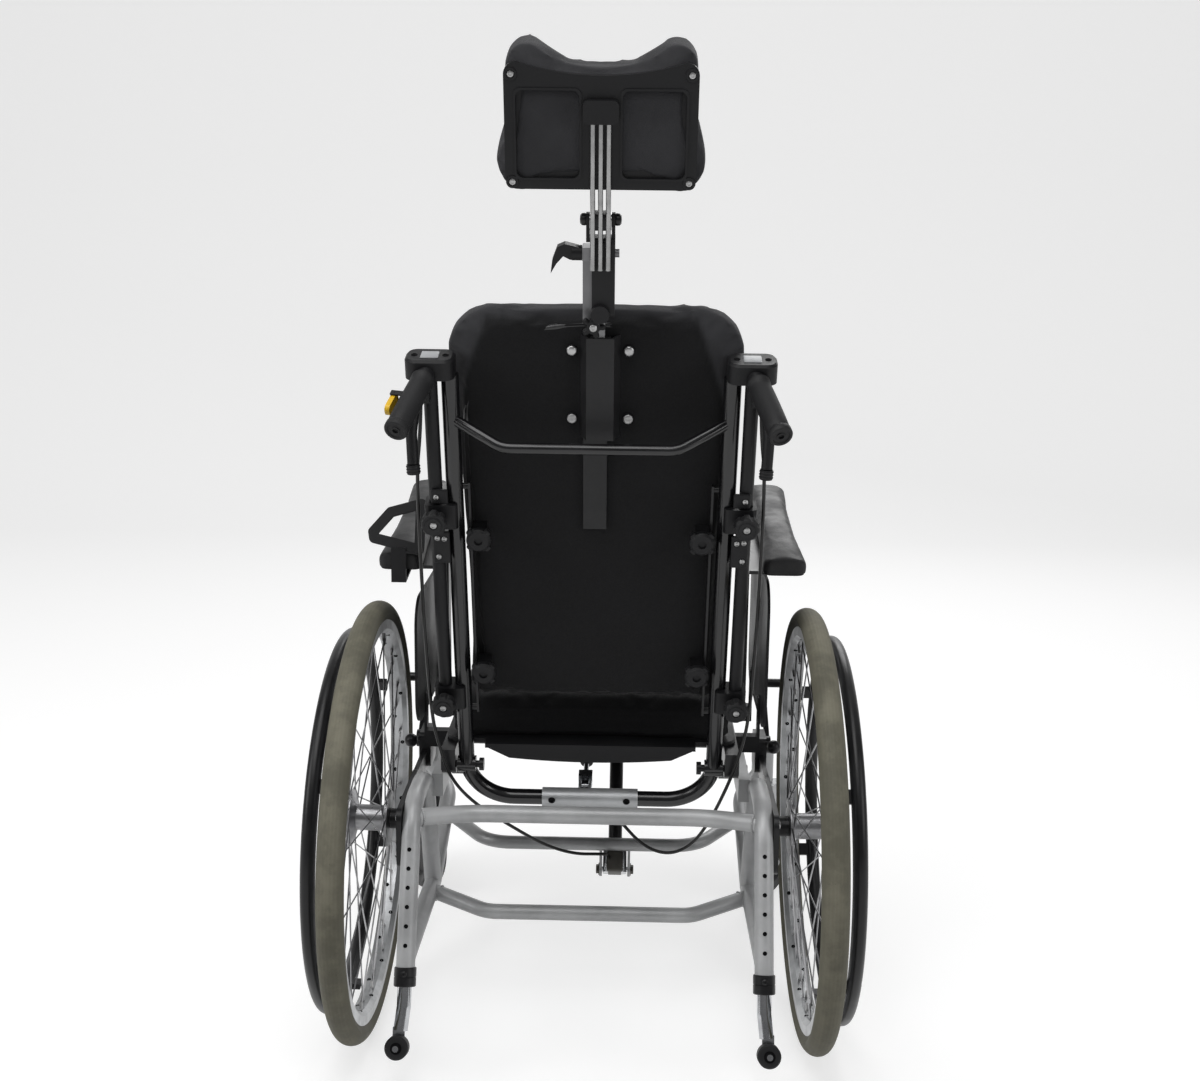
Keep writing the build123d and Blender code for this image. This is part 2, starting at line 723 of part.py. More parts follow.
def seat_pan():
    """Seat pan: pressed plate on the rails, with a tongue between the canes and a lip behind."""
    low = rail_low_z + rail_height + pan_gap
    half = cushion_width / 2 - 2
    pan = block((-half, half), (pan_rear_y + 4, pan_rear_y + pan_length), (low, low + pan_thickness))
    pan = fillet(pan.edges().filter_by(Axis.Z), 24)
    tongue = block((-pan_tongue_half, pan_tongue_half), (pan_tongue_y, pan_rear_y + 40), (low, low + pan_thickness))
    pan += tongue
    lip = Polyline((-pan_tongue_half, low + 2), (pan_tongue_half, low + 2), (pan_tongue_half - 34, low - 14))
    lip += ThreePointArc((pan_tongue_half - 34, low - 14), (0, low - 19), (-pan_tongue_half + 34, low - 14))
    lip += Line((-pan_tongue_half + 34, low - 14), (-pan_tongue_half, low + 2))
    pan += Pos(0, pan_tongue_y, 0) * extrude(make_face(Plane.XZ * lip), 4, dir=(0, 1, 0))
    return pan


def seat_cushion():
    """Seat cushion: crowned top, sides drawn in between the corners."""
    low = rail_low_z + rail_height + pan_gap + pan_thickness + 0.4
    edge = low + cushion_side_height
    half = cushion_width / 2
    rear, front = cushion_rear_y, cushion_rear_y + cushion_length
    middle = (rear + front) / 2
    plan = ThreePointArc((-half, rear), (0, rear + 5), (half, rear))
    plan += ThreePointArc((half, rear), (half - 6, middle), (half, front))
    plan += ThreePointArc((half, front), (0, front - 8), (-half, front))
    plan += ThreePointArc((-half, front), (-half + 6, middle), (-half, rear))
    body = extrude(make_face(plan), edge + 30)
    body = fillet(body.edges().filter_by(Axis.Z), 30)
    across = Polyline((-half - 9, edge), (-half - 9, low), (half + 9, low), (half + 9, edge))
    across += ThreePointArc((half + 9, edge), (0, edge + cushion_crown), (-half - 9, edge))
    body &= Pos(0, rear - 20, 0) * extrude(make_face(Plane.XZ * across), cushion_length + 60, dir=(0, 1, 0))
    along = Polyline((rear - 9, edge - 4), (rear - 9, low - 1), (front + 9, low - 1), (front + 9, edge - 16))
    along += ThreePointArc((front + 9, edge - 16), (middle, edge + cushion_crown), (rear - 9, edge - 4))
    return body & plate_x(along, (-half - 20, half + 20))


def side_guard(high_z):
    """Side guard on the right up to a height: plate with round corners on two studs of the seat rail."""
    xs = (guard_x - guard_thickness / 2, guard_x + guard_thickness / 2)
    guard = block(xs, (guard_rear_y, guard_rear_y + guard_length), (guard_low_z, high_z))
    guard = fillet(guard.edges().filter_by(Axis.X), guard_corner)
    stud_low, stud_high = rail_low_z + 4, rail_low_z + rail_height - 2
    for y in (guard_rear_y + 84, guard_rear_y + guard_length - 60):
        guard += block((rail_x + rail_width / 2 + 0.1, guard_x), (y - 9, y + 9), (stud_low, stud_high))
        guard += block((guard_x - 4, guard_x), (y - 9, y + 9), (stud_low, guard_low_z + 30))
    return guard


def side_guards():
    """The two side guards between the seat and the wheels, the right one taller as photographed."""
    left = mirror(side_guard(guard_left_high_z), about=Plane.YZ)
    return Compound(children=[side_guard(guard_right_high_z), left])


def sloped(shape):
    """An armrest piece, made level, turned about the rear lower edge of the pad so that it rises forward."""
    return Pos(0, arm_pad_rear_y, arm_pad_low_z) * Rot(arm_pad_slope, 0, 0) * shape


def arm_support():
    """Armrest post: flat bar beside the guard, with the sloped plate under its pad."""
    half = post_width / 2
    rise = (post_y - arm_pad_rear_y) * tan(radians(arm_pad_slope))
    post = block((post_x - half, post_x + half), (post_y - post_depth / 2, post_y + post_depth / 2),
                 (guard_low_z + 20, arm_pad_low_z + rise - 4))
    plate = sloped(block((post_x - half, arm_pad_x + 24), (30, arm_pad_length - 30), (-5.3, -0.3)))
    return post + plate


def arm_pad():
    """Arm pad: long soft pad with a crowned top and rounded ends."""
    left, right = arm_pad_x - arm_pad_width / 2, arm_pad_x + arm_pad_width / 2
    top = arm_pad_height
    across = Polyline((left + 4, 0), (right - 4, 0), (right, 12), (right - 3, top - 6))
    across += ThreePointArc((right - 3, top - 6), (arm_pad_x, top), (left + 3, top - 6))
    across += Polyline((left + 3, top - 6), (left, 12), (left + 4, 0))
    pad = extrude(make_face(Plane.XZ * across), arm_pad_length, dir=(0, 1, 0))
    ends = block((left - 1, right + 1), (0, arm_pad_length), (-1, top + 1))
    return sloped(pad & fillet(ends.edges().filter_by(Axis.Z), 16))


def arm_loop():
    """Flat band bent to a slanted loop at the rear end of the left arm pad, open in the middle."""
    root, tip = -post_x - 4, -post_x - loop_reach
    middle = (loop_high_z + loop_low_z) / 2
    outline = Polyline((root, loop_high_z), (tip + 26, loop_high_z - 15), (tip, middle - 6),
                       (tip + 3, loop_low_z + 18), (root, loop_low_z), close=True)
    outer = fillet(outline.vertices(), 7)
    inner = offset(outer, -loop_band)
    ring = make_face(Plane.XZ * outer) - make_face(Plane.XZ * inner)
    loop = extrude(ring, loop_thickness, dir=(0, 1, 0))
    rear = arm_pad_rear_y - 16
    loop = Pos(0, rear, loop_low_z) * Rot(-loop_slant, 0, 0) * Pos(0, 0, -loop_low_z) * loop
    tab_xs = (-arm_pad_x - 10, -arm_pad_x + 10)
    loop += block(tab_xs, (rear, rear + loop_thickness), (arm_pad_low_z - 10, loop_low_z + 10))
    return loop + sloped(block(tab_xs, (-16, 70), (-8.4, -5.4)))


# ---------------------------------------------------------------- back

def back_frame():
    """Back frame: the canes and the U that joins them, and the bar across below the handles."""
    radius = cane_tube / 2
    frame = tube_along([(-cane_x, 0, cane_top), (-cane_x, 0, cane_low), (cane_x, 0, cane_low),
                        (cane_x, 0, cane_top)], radius, cane_bend)
    frame += tube_along([(-cane_x, 0, cross_bar_end_height), (-cross_bar_half, -cross_bar_back, cross_bar_height),
                         (cross_bar_half, -cross_bar_back, cross_bar_height), (cane_x, 0, cross_bar_end_height)],
                        cross_bar_tube / 2, 34)
    for side in (-1, 1):
        x = side * cane_x
        hole = disc_x((x - 20, x + 20), 0, recline_height, recline_pin_diameter / 2 + pin_clearance)
        frame += disc_x((x - 13, x + 13), 0, recline_height, 12)
        frame -= hole
    return leaned(frame)


def back_sleeve():
    """Metal sleeve clamped round the U, with the ears and pin of the recline gas spring."""
    half = sleeve_half_length
    outer = sleeve_diameter / 2
    sleeve = disc_x((-half, half), 0, cane_low, outer) - disc_x((-half - 1, half + 1), 0, cane_low,
                                                                cane_tube / 2 + 0.05)
    angle = radians(lean_angle)
    rise = recline_rear_z - lean_z
    local_y = recline_rear_y * cos(angle) + rise * sin(angle)
    local_z = -recline_rear_y * sin(angle) + rise * cos(angle)
    sleeve = leaned(sleeve)
    low = cane_low * cos(angle) + lean_z
    centre_y = -cane_low * sin(angle)
    for side in (-1, 1):
        xs = sorted((recline_spring_x + side * 6, recline_spring_x + side * 9))
        start = outer - 1.5
        ear = disc_x(xs, recline_rear_y, recline_rear_z, 8)
        ear += block(xs, (centre_y + 8, recline_rear_y), (low - 2, recline_rear_z + 6))
        ear -= disc_x((xs[0] - 1, xs[1] + 1), centre_y, low, start)
        sleeve += ear
    pin_xs = (recline_spring_x - 9, recline_spring_x + 9)
    return sleeve + disc_x(pin_xs, recline_rear_y, recline_rear_z, spring_pin_diameter / 2)


def rail_strip():
    """Perforated strip along the inside of a cane."""
    strip = block((rail_strip_x - rail_strip_thickness / 2, rail_strip_x + rail_strip_thickness / 2),
                  (-rail_strip_width / 2, rail_strip_width / 2), (rail_strip_low, rail_strip_high))
    count = int((rail_strip_high - rail_strip_low - 20) / rail_strip_hole_pitch)
    for index in range(count + 1):
        z = rail_strip_low + 12 + index * rail_strip_hole_pitch
        strip -= disc_x((rail_strip_x - 5, rail_strip_x + 5), 0, z, 2.4)
    for z in (rail_strip_low + 6, rail_strip_high - 6):
        strip += disc_x((rail_strip_x, cane_x - cane_tube / 2 - 0.02), 0, z, 4)
    return strip


def back_rails():
    """The two perforated strips."""
    return leaned(Compound(children=list(both_sides(rail_strip()))))


def shell_arch(half, inset):
    """Arched top edge of the shell, from right to left, moved inwards by an inset."""
    shoulder_x, shoulder = shell_shoulder_x - inset, shell_shoulder - inset
    corner = (half - 17, shell_side_top + 51)
    arch = ThreePointArc((half, shell_side_top), corner, (shoulder_x, shoulder))
    arch += ThreePointArc((shoulder_x, shoulder), (0, shell_arch_top - inset), (-shoulder_x, shoulder))
    arch += ThreePointArc((-shoulder_x, shoulder), (-corner[0], corner[1]), (-half, shell_side_top))
    return arch


def back_shell():
    """Rigid back shell with an arched top, a bead round it and four hooks to the strips."""
    half = shell_half_width
    outline = Polyline((-half + 10, shell_low), (half - 10, shell_low), (half, shell_low + 40),
                       (half, shell_side_top))
    outline += shell_arch(half, 0)
    outline += Polyline((-half, shell_side_top), (-half, shell_low + 40), (-half + 10, shell_low))
    face = make_face(Plane.XZ * outline)
    back = shell_front - shell_thickness
    shell = Pos(0, back, 0) * extrude(face, shell_thickness, dir=(0, 1, 0))
    arch = Pos(0, back + 1.5, 0) * (Plane.XZ * shell_arch(half - 3, 3)).wire()
    shell += sweep(Plane(origin=arch @ 0, z_dir=arch % 0) * Circle(shell_bead), path=arch)
    for side in (-1, 1):
        for z in hook_heights:
            xs = sorted((side * (rail_strip_x - 20), side * (rail_strip_x - 2.5)))
            hook = block(xs, (-13, back + 1), (z - 11, z + 11))
            hook = fillet(hook.edges().filter_by(Axis.X), 5)
            shell += hook
    return leaned(shell)


def back_cushion():
    """Back cushion: wide rounded shoulders, crowned front, sides drawn in towards the waist."""
    half = back_cushion_half
    top, low = back_cushion_top, back_cushion_low
    waist = half - 14
    outline = ThreePointArc((-half, top - 78), (-half + 22, top - 24), (-half + 72, top - 4))
    outline += ThreePointArc((-half + 72, top - 4), (0, top), (half - 72, top - 4))
    outline += ThreePointArc((half - 72, top - 4), (half - 22, top - 24), (half, top - 78))
    outline += ThreePointArc((half, top - 78), (waist + 4, 200), (waist, low + 30))
    outline += ThreePointArc((waist, low + 30), (waist - 8, low + 8), (waist - 28, low))
    outline += ThreePointArc((waist - 28, low), (0, low - 6), (-waist + 28, low))
    outline += ThreePointArc((-waist + 28, low), (-waist + 8, low + 8), (-waist, low + 30))
    outline += ThreePointArc((-waist, low + 30), (-waist - 4, 200), (-half, top - 78))
    depth = back_cushion_edge + back_cushion_crown
    back = back_cushion_back
    body = Pos(0, back, 0) * extrude(make_face(Plane.XZ * outline), depth, dir=(0, 1, 0))
    edge = back + back_cushion_edge
    plan = Polyline((-half - 6, edge - 12), (-half - 6, back), (half + 6, back), (half + 6, edge - 12))
    plan += ThreePointArc((half + 6, edge - 12), (0, edge + 10), (-half - 6, edge - 12))
    body &= Pos(0, 0, low - 20) * extrude(make_face(plan), top - low + 40)
    side = Polyline((edge - 10, top + 6), (back - 1, top + 6), (back - 1, low - 12), (edge - 2, low - 12))
    side += ThreePointArc((edge - 2, low - 12), (edge + 12, 190), (edge - 10, top + 6))
    return leaned(Pos(back_cushion_shift, 0, 0) * (body & plate_x(side, (-half - 20, half + 20))))


# ---------------------------------------------------------------- push handles

def handle_clamps():
    """Four clamp blocks that hold the handle tubes on the canes."""
    pieces = []
    for side in (-1, 1):
        for z in clamp_heights:
            low, high = z - clamp_height / 2, z + clamp_height / 2
            xs = sorted((side * (cane_x - 4), side * (handle_x + 14)))
            clamp = block(xs, (-handle_back - 14, 12), (low, high))
            clamp = fillet(clamp.edges().filter_by(Axis.Z), 6)
            clamp += Pos(side * handle_x, -handle_back - 14, z) * Rot(90, 0, 0) * Cylinder(10, 16)
            clamp -= bar((side * cane_x, 0, low - 1), (side * cane_x, 0, high + 1), cane_tube / 2 + 0.05)
            clamp -= bar((side * handle_x, -handle_back, low - 1), (side * handle_x, -handle_back, high + 1),
                         handle_tube / 2 + slide_clearance)
            pieces.append(clamp)
    return leaned(Compound(children=pieces))


def clamp_knob(height):
    """Round clamp knob behind the right clamp at one height."""
    knob = Pos(0, 0, knob_length / 2) * Cylinder(knob_diameter / 2, knob_length)
    knob = chamfer(knob.edges().filter_by(GeomType.CIRCLE).sort_by(Axis.Z)[-1], 2.5)
    for index in range(8):
        notch = Pos(knob_diameter / 2 + 2, 0, knob_length / 2) * Cylinder(4, knob_length + 2)
        knob -= Rot(0, 0, 22.5 + index * 45) * notch
    return leaned(Pos(handle_x, -knob_back, height) * Rot(90, 0, 0) * knob)


def grip_frame(shape):
    """A piece made along Z, turned to the push handle's grip: out to the side and drooping."""
    turn = Rot(0, 0, grip_out_angle) * Rot(90 + grip_drop_angle - lean_angle, 0, 0)
    return Pos(handle_x, -handle_cap_depth / 2 + 4, handle_top) * turn * shape


def push_handle():
    """Push handle: straight tube, moulded cap over the corner and the core of the grip."""
    tube = bar((handle_x, -handle_back, handle_low), (handle_x, -handle_back, handle_top), handle_tube / 2)
    cap = block((handle_x - handle_cap_inner, handle_x + handle_cap_outer),
                (-handle_cap_depth / 2 - 6, handle_cap_depth / 2 - 6),
                (handle_top - 10, handle_top + handle_cap_height - 10))
    cap = fillet(cap.edges().filter_by(Axis.Z), 14)
    cap = chamfer(cap.faces().sort_by(Axis.Z)[-1].edges(), 3)
    core = grip_frame(bar((0, 0, 0), (0, 0, grip_start + grip_length - 6), 11))
    bracket = block((handle_x - 1, handle_x + 8.5), (-26, -6), (handle_top - 40, handle_top - 8))
    return leaned(tube + cap + core + bracket)


def grip(side):
    """Rubber grip over the core of the left or right handle, the left one with the yellow lever's lug."""
    start, end = grip_start, grip_start + grip_length
    outer = grip_diameter / 2
    body = bar((0, 0, start), (0, 0, end), outer)
    body = chamfer(body.edges().filter_by(GeomType.CIRCLE), 2)
    if side == "left":
        body += lever_lug()
    body = grip_frame(body - bar((0, 0, start - 1), (0, 0, end - 5.7), 11.02))
    return leaned(mirror(body, about=Plane.YZ)) if side == "left" else leaned(body)


def release_lever():
    """Long release lever hinged below the cap, hanging beside the handle's tube."""
    pivot = (handle_x + 16, -18, handle_top - 30)
    knee = (handle_x + 20, -46, handle_top - 70)
    tip = (handle_x + 18, -60, handle_top - 106)
    lever = tube_along([pivot, knee, tip], 7, 22)
    lever += disc_x((pivot[0] - 6.6, pivot[0] + 6), pivot[1], pivot[2], 9)
    lever += bar(tip, (tip[0] - 0.6, tip[1] - 2, tip[2] - 12), 8)
    return leaned(lever)


def lever_pivot():
    """Place of the yellow lever's pin in the frame of the right grip."""
    return (grip_diameter / 2 + lever_gap + lever_thickness / 2, 0, grip_start + lever_pivot_share * grip_length)


def lever_pin(radius, half_height):
    """Disc about the axis of the yellow lever's pin, in the frame of the right grip."""
    x, y, z = lever_pivot()
    return bar((x, y - half_height, z), (x, y + half_height, z), radius)


def lever_lug():
    """Two ears with a pin between them on the outside of the left grip."""
    x, y, z = lever_pivot()
    lug = lever_pin(lever_pin_diameter / 2, lever_half_height + 3)
    for side in (-1, 1):
        near, far = sorted((side * (lever_half_height + 0.4), side * (lever_half_height + 3)))
        ear = block((grip_diameter / 2 - 5, x), (near, far), (z - 4, z + 4))
        lug += ear + Pos(0, (near + far) / 2, 0) * lever_pin(4, (far - near) / 2)
    return lug


def tilt_lever():
    """Yellow finger lever on the outside of the left grip: round eye on its pin and a paddle."""
    x, y, z = lever_pivot()
    half = lever_thickness / 2
    paddle = block((x - half, x + half), (-lever_half_height, lever_half_height), (z, z + lever_length))
    paddle = fillet(paddle.edges().filter_by(Axis.X).sort_by(Axis.Z)[-2:], 6)
    lever = paddle + lever_pin(4.5, lever_half_height)
    lever -= lever_pin(lever_pin_diameter / 2 + pin_clearance, lever_half_height + 1)
    return leaned(mirror(grip_frame(lever), about=Plane.YZ))


# ---------------------------------------------------------------- headrest

def on_headrest(shape):
    """A headrest piece, made about its own middle, in its place right of the middle of the back."""
    return leaned(Pos(headrest_x, 0, 0) * shape)


def headrest_bracket():
    """Bracket plate on the shell with four bolts, folded channel, and the longer channel below."""
    back = shell_front - shell_thickness - 0.05
    plate = block((-bracket_half_width, bracket_half_width), (back - 3, back), (bracket_low, bracket_high))
    front = back - 2
    half = channel_width / 2
    rear = front - channel_depth
    fold = Polyline((-half - 5, front), (-half + 3, rear), (half - 3, rear), (half + 5, front), (half + 1, front),
                    (half - 6, rear + 3), (-half + 6, rear + 3), (-half - 1, front), close=True)
    channel = Pos(0, 0, bracket_low - 4) * extrude(make_face(fold), bracket_high - bracket_low + 4)
    low_half = lower_channel_width / 2
    low_fold = Polyline((-low_half, back), (-low_half, back - 8), (low_half, back - 8), (low_half, back),
                        (low_half - 3, back), (low_half - 3, back - 5), (-low_half + 3, back - 5),
                        (-low_half + 3, back), close=True)
    lower_length = bracket_low - lower_channel_low + 1
    lower = Pos(lower_channel_shift, 0, lower_channel_low) * extrude(make_face(low_fold), lower_length)
    bracket = plate + channel + lower
    for x in (-bracket_bolt_x, bracket_bolt_x):
        for z in (bracket_bolt_low, bracket_bolt_high):
            bracket += bar((x, back - 2, z), (x, back - 8, z), 6)
    guide = block((-half + 7, half - 7), (rear + 2, back - 2.5), (bracket_high - 30, bracket_high - 2))
    bracket += guide - headrest_post_hole(0.1)
    return on_headrest(bracket)


def post_centre_y():
    """Depth of the headrest post's axis, inside the channel."""
    return shell_front - shell_thickness - headrest_post_back


def block_centre_y():
    """Depth of the headrest block's axis, behind the post."""
    return post_centre_y() - 12


def headrest_post_hole(gap):
    """Space of the lower part of the headrest post, larger all round by a gap."""
    half = headrest_post_width / 2 + gap
    y = post_centre_y()
    return block((-half, half), (y - half, y + half), (headrest_post_low, block_pin_height))


def headrest_post():
    """Square post that slides in the bracket, cranked to the left, with the headrest block's pin on top."""
    half = headrest_post_width / 2
    y = post_centre_y()
    post = block((-half, half), (y - half, y + half), (headrest_post_low, block_low + 6))
    post += block((post_left, half), (y - half, y + half), (block_low - 6, block_low + 6))
    post += block((post_left, post_right), (y - half, y + half), (block_low - 6, block_pin_height))
    post += block((post_left, post_right), (y - 19, y), (block_pin_height - 8, block_pin_height + 8))
    post += disc_x((post_left + 2, block_left + block_width + 5), block_centre_y(), block_pin_height, 5)
    return on_headrest(post)


def headrest_block():
    """Jointed block: turns on the post's pin, with two ears and a pin for the rods on top."""
    y = block_centre_y()
    right = block_left + block_width
    half = block_depth / 2
    body = block((block_left, right), (y - half, y + half), (block_low + 8, block_high))
    body = fillet(body.edges().filter_by(Axis.X), 6)
    body -= disc_x((block_left - 1, right + 1), y, block_pin_height, 5 + pin_clearance)
    body += Pos(0, y - half - 3, block_low + 14) * Rot(90, 0, 0) * Cylinder(11, 8)
    outer = rod_clamp_half_width + 0.3 + clamp_ear_thickness
    for side in (-1, 1):
        xs = sorted((side * outer, side * (outer - clamp_ear_thickness)))
        ear = block(xs, (y - 8, y + 8), (block_high - 4, rod_pivot_height + 8))
        body += fillet(ear.edges().filter_by(Axis.X).sort_by(Axis.Z)[-2:], 6)
    body += block((-outer, outer), (y - 8, y + 8), (block_high - 5, block_high))
    body += disc_x((-outer - 2, outer + 2), y, rod_pivot_height, 4)
    return on_headrest(body)


def headrest_lever():
    """Hooked clamp lever at the left of the headrest post."""
    y = block_centre_y()
    root, z = post_left - 0.4, block_pin_height
    outline = Polyline((root - 4, z + 8), (root - 20, z + 12), (root - 29, z + 8), (root - 35, z - 8),
                       (root - 37, z - 24), (root - 30, z - 12), (root - 22, z - 3), (root - 14, z - 7),
                       (root - 4, z - 7), close=True)
    hook = Pos(0, y - 6, 0) * extrude(make_face(Plane.XZ * outline), 12, dir=(0, 1, 0))
    return on_headrest(hook + disc_x((root - 12, root), y, z, 9))


def rod_places():
    """Sideways places of the three rods."""
    return [(index - (rod_count - 1) / 2) * rod_pitch for index in range(rod_count)]


def headrest_rods():
    """Three rods side by side behind the block, held in the clamp that turns on the upper pin."""
    y = block_centre_y()
    tail_y = y - block_depth / 2 - rod_diameter / 2 - 0.6
    half = rod_clamp_half_width
    rods = block((-half, half), (tail_y - 1, y + 8), (rod_pivot_height - 9, rod_pivot_height + 9))
    rods = fillet(rods.edges().filter_by(Axis.X), 6)
    rods -= disc_x((-half - 1, half + 1), y, rod_pivot_height, 4 + pin_clearance)
    for x in rod_places():
        rods += tube_along([(x, tail_y, rod_pivot_height - rod_tail), (x, tail_y, rod_pivot_height + 10),
                            (x, -rod_back, rod_pivot_height + 32), (x, -rod_back, rod_top)], rod_diameter / 2, 12)
    return on_headrest(rods)


def plate_window(side, back, margin, depth):
    """Block of a window in the headrest plate, wider all round by a margin."""
    xs = sorted((side * (window_inner_x - margin), side * (head_plate_half_width - window_margin + margin)))
    zs = (head_plate_low + window_margin - margin, head_plate_high - window_top_margin + margin)
    window = block(xs, (back - depth, back + 4), zs)
    return fillet(window.edges().filter_by(Axis.Y), 8)


def headrest_plate():
    """Moulded back plate of the headrest: dipped top edge, two windows with raised rims, rod socket."""
    half = head_plate_half_width
    front = -rod_back + rod_diameter / 2 + head_plate_thickness + 0.4
    back = front - head_plate_thickness
    corner = 14
    outline = Polyline((-half, head_plate_high - corner), (-half, head_plate_low + corner))
    outline += ThreePointArc((-half, head_plate_low + corner), (-half + 4, head_plate_low + 4),
                             (-half + corner, head_plate_low))
    outline += Line((-half + corner, head_plate_low), (half - corner, head_plate_low))
    outline += ThreePointArc((half - corner, head_plate_low), (half - 4, head_plate_low + 4),
                             (half, head_plate_low + corner))
    outline += Line((half, head_plate_low + corner), (half, head_plate_high - corner))
    outline += ThreePointArc((half, head_plate_high - corner), (half - 4, head_plate_high - 4),
                             (half - corner, head_plate_high))
    outline += ThreePointArc((half - corner, head_plate_high), (0, head_plate_high - head_plate_dip),
                             (-half + corner, head_plate_high))
    outline += ThreePointArc((-half + corner, head_plate_high), (-half + 4, head_plate_high - 4),
                             (-half, head_plate_high - corner))
    body = Pos(0, back, 0) * extrude(make_face(Plane.XZ * outline), head_plate_thickness, dir=(0, 1, 0))
    for side in (-1, 1):
        body += plate_window(side, back, 2.5, 1.6)
    for side in (-1, 1):
        body -= plate_window(side, back, 0, 3)
    socket = block((-20, 20), (back - 10, back + 1), (rod_top - 12, rod_top + 14))
    socket = fillet(socket.edges().filter_by(Axis.Y), 6)
    for x in rod_places():
        socket -= bar((x, -rod_back, rod_top - 13), (x, -rod_back, rod_top + 0.3), rod_diameter / 2 + 0.05)
    return on_headrest(body + socket)


def headrest_pad():
    """Butterfly head pad: lobes above and below, waisted sides, dished front."""
    front = -rod_back + rod_diameter / 2 + head_plate_thickness + 0.8
    half, height = head_pad_half_width, head_pad_height
    top = head_plate_high + head_pad_above_plate
    low = top - height
    lobe = (0.66 * half, top)
    shoulder = (0.93 * half, top - 0.17 * height)
    hip = (half, top - 0.68 * height)
    foot = (0.76 * half, low)
    right = ThreePointArc((0, top - head_pad_dip), (0.36 * half, top - 0.72 * head_pad_dip), lobe)
    right += ThreePointArc(lobe, (0.86 * half, top - 0.045 * height), shoulder)
    right += ThreePointArc(shoulder, (0.925 * half, top - 0.42 * height), hip)
    right += ThreePointArc(hip, (0.95 * half, top - 0.92 * height), foot)
    right += ThreePointArc(foot, (0.4 * half, low + 0.045 * height), (0, low + 0.055 * height))
    outline = right + mirror(right, about=Plane.YZ)
    pad = Pos(0, front, 0) * extrude(make_face(Plane.XZ * outline), head_pad_depth, dir=(0, 1, 0))
    inner = front + head_pad_depth
    wide = half + 10
    plan = Polyline((-wide, front + 26), (-wide, front), (wide, front), (wide, front + 26))
    plan += ThreePointArc((wide, front + 26), (0.84 * half, inner - 4), (0.5 * half, inner - 8))
    plan += ThreePointArc((0.5 * half, inner - 8), (0, inner - 22), (-0.5 * half, inner - 8))
    plan += ThreePointArc((-0.5 * half, inner - 8), (-0.84 * half, inner - 4), (-wide, front + 26))
    return on_headrest(pad & Pos(0, 0, low - 5) * extrude(make_face(plan), height + 10))


# ---------------------------------------------------------------- cables

def on_back(x, y, z):
    """Place on the leaned back from its upright position."""
    angle = radians(lean_angle)
    return (x, y * cos(angle) - z * sin(angle), lean_z + y * sin(angle) + z * cos(angle))


def release_cables():
    """The two release cables: down beside the canes, then in free bows to the two gas springs."""
    down = [on_back(209, -15.5, 453.4), on_back(211, -18, 412), on_back(221, -14, 345),
            on_back(220.5, -15, 0), (207, -6, 408), (194, 6, 362)]
    left = [(-x, y, z) for x, y, z in down]
    left += [(-165, 30, 318), (-121, 60, 276), (-70, 100, 228), (-26, 128, 202), (12, 146, 195), (28, 160, 189),
             (28, 180.3, 174.8)]
    right = down + [(172, 36, 296), (148, 60, 248), (114, 74, 226), (76, 84, 236), (42, 92, 272), (10, 98, 300),
                    (-4, 98, 321.4)]
    return Compound(children=[cable_along(left), cable_along(right)])


def cable_along(points):
    """One cable along its route, each corner with the largest arc that fits."""
    radii = [corner_radius(*points[index:index + 3]) for index in range(len(points) - 2)]
    cable = tube_along(points, cable_radius, radii)
    length = cable.volume / (3.14159 * cable_radius ** 2)
    print("cable length", round(length), "mm, smallest arc", round(min(radii), 1), "mm")
    return cable


def corner_radius(before, corner, after):
    """Largest arc at a corner of the route: 0.45 of the shorter run over the tangent of half the turn."""
    run_in = Vector(*corner) - Vector(*before)
    run_out = Vector(*after) - Vector(*corner)
    turn = radians(run_in.get_angle(run_out))
    return 0.45 * min(run_in.length, run_out.length) / tan(turn / 2)


# ---------------------------------------------------------------- build

def build():
    """Every node of the wheelchair by name, in the modelling frame."""
    parts = {}

    def pair(name, shape):
        right, left = both_sides(shape)
        parts[name + "_right"] = right
        parts[name + "_left"] = left

    pair("side_frame", side_frame())
    pair("wheel_tyre", wheel_tyre())
    pair("wheel_rim", wheel_rim())
    pair("wheel_spokes", wheel_spokes())
    pair("handrim", wheel_handrim())
    pair("castor_fork", castor_fork())
    pair("castor_wheel", castor_wheel())
    tube, roller = anti_tip_pieces()
    pair("anti_tip_tube", tube)
    pair("anti_tip_roller", roller)
    pair("brake_lever", brake_lever())
    parts["axle_plates"] = Compound(children=list(both_sides(axle_plate())))
    parts["cross_tubes"] = cross_tubes()
    parts["tilt_spring_rod"], parts["tilt_spring_cylinder"] = tilt_spring()
    parts["recline_spring_cylinder"], parts["recline_spring_rod"] = recline_spring()
    parts["seat_frame"] = seat_frame()
    parts["seat_pan"] = seat_pan()
    parts["seat_cushion"] = seat_cushion()
    parts["side_guards"] = side_guards()
    pair("arm_support", arm_support())
    pair("arm_pad", arm_pad())
    parts["arm_loop"] = arm_loop()
    parts["back_frame"] = back_frame()
    parts["back_sleeve"] = back_sleeve()
    parts["back_rails"] = back_rails()
    parts["back_shell"] = back_shell()
    parts["back_cushion"] = back_cushion()
    parts["handle_clamps"] = handle_clamps()
    pair("lower_knob", clamp_knob(clamp_heights[0]))
    pair("upper_knob", clamp_knob(clamp_heights[1]))
    pair("push_handle", push_handle())
    for side in ("left", "right"):
        parts["grip_" + side] = grip(side)
    pair("release_lever", release_lever())
    parts["tilt_lever"] = tilt_lever()
    parts["headrest_bracket"] = headrest_bracket()
    parts["headrest_post"] = headrest_post()
    parts["headrest_block"] = headrest_block()
    parts["headrest_lever"] = headrest_lever()
    parts["headrest_rods"] = headrest_rods()
    parts["headrest_plate"] = headrest_plate()
    parts["headrest_pad"] = headrest_pad()
    parts["release_cables"] = release_cables()
    return parts


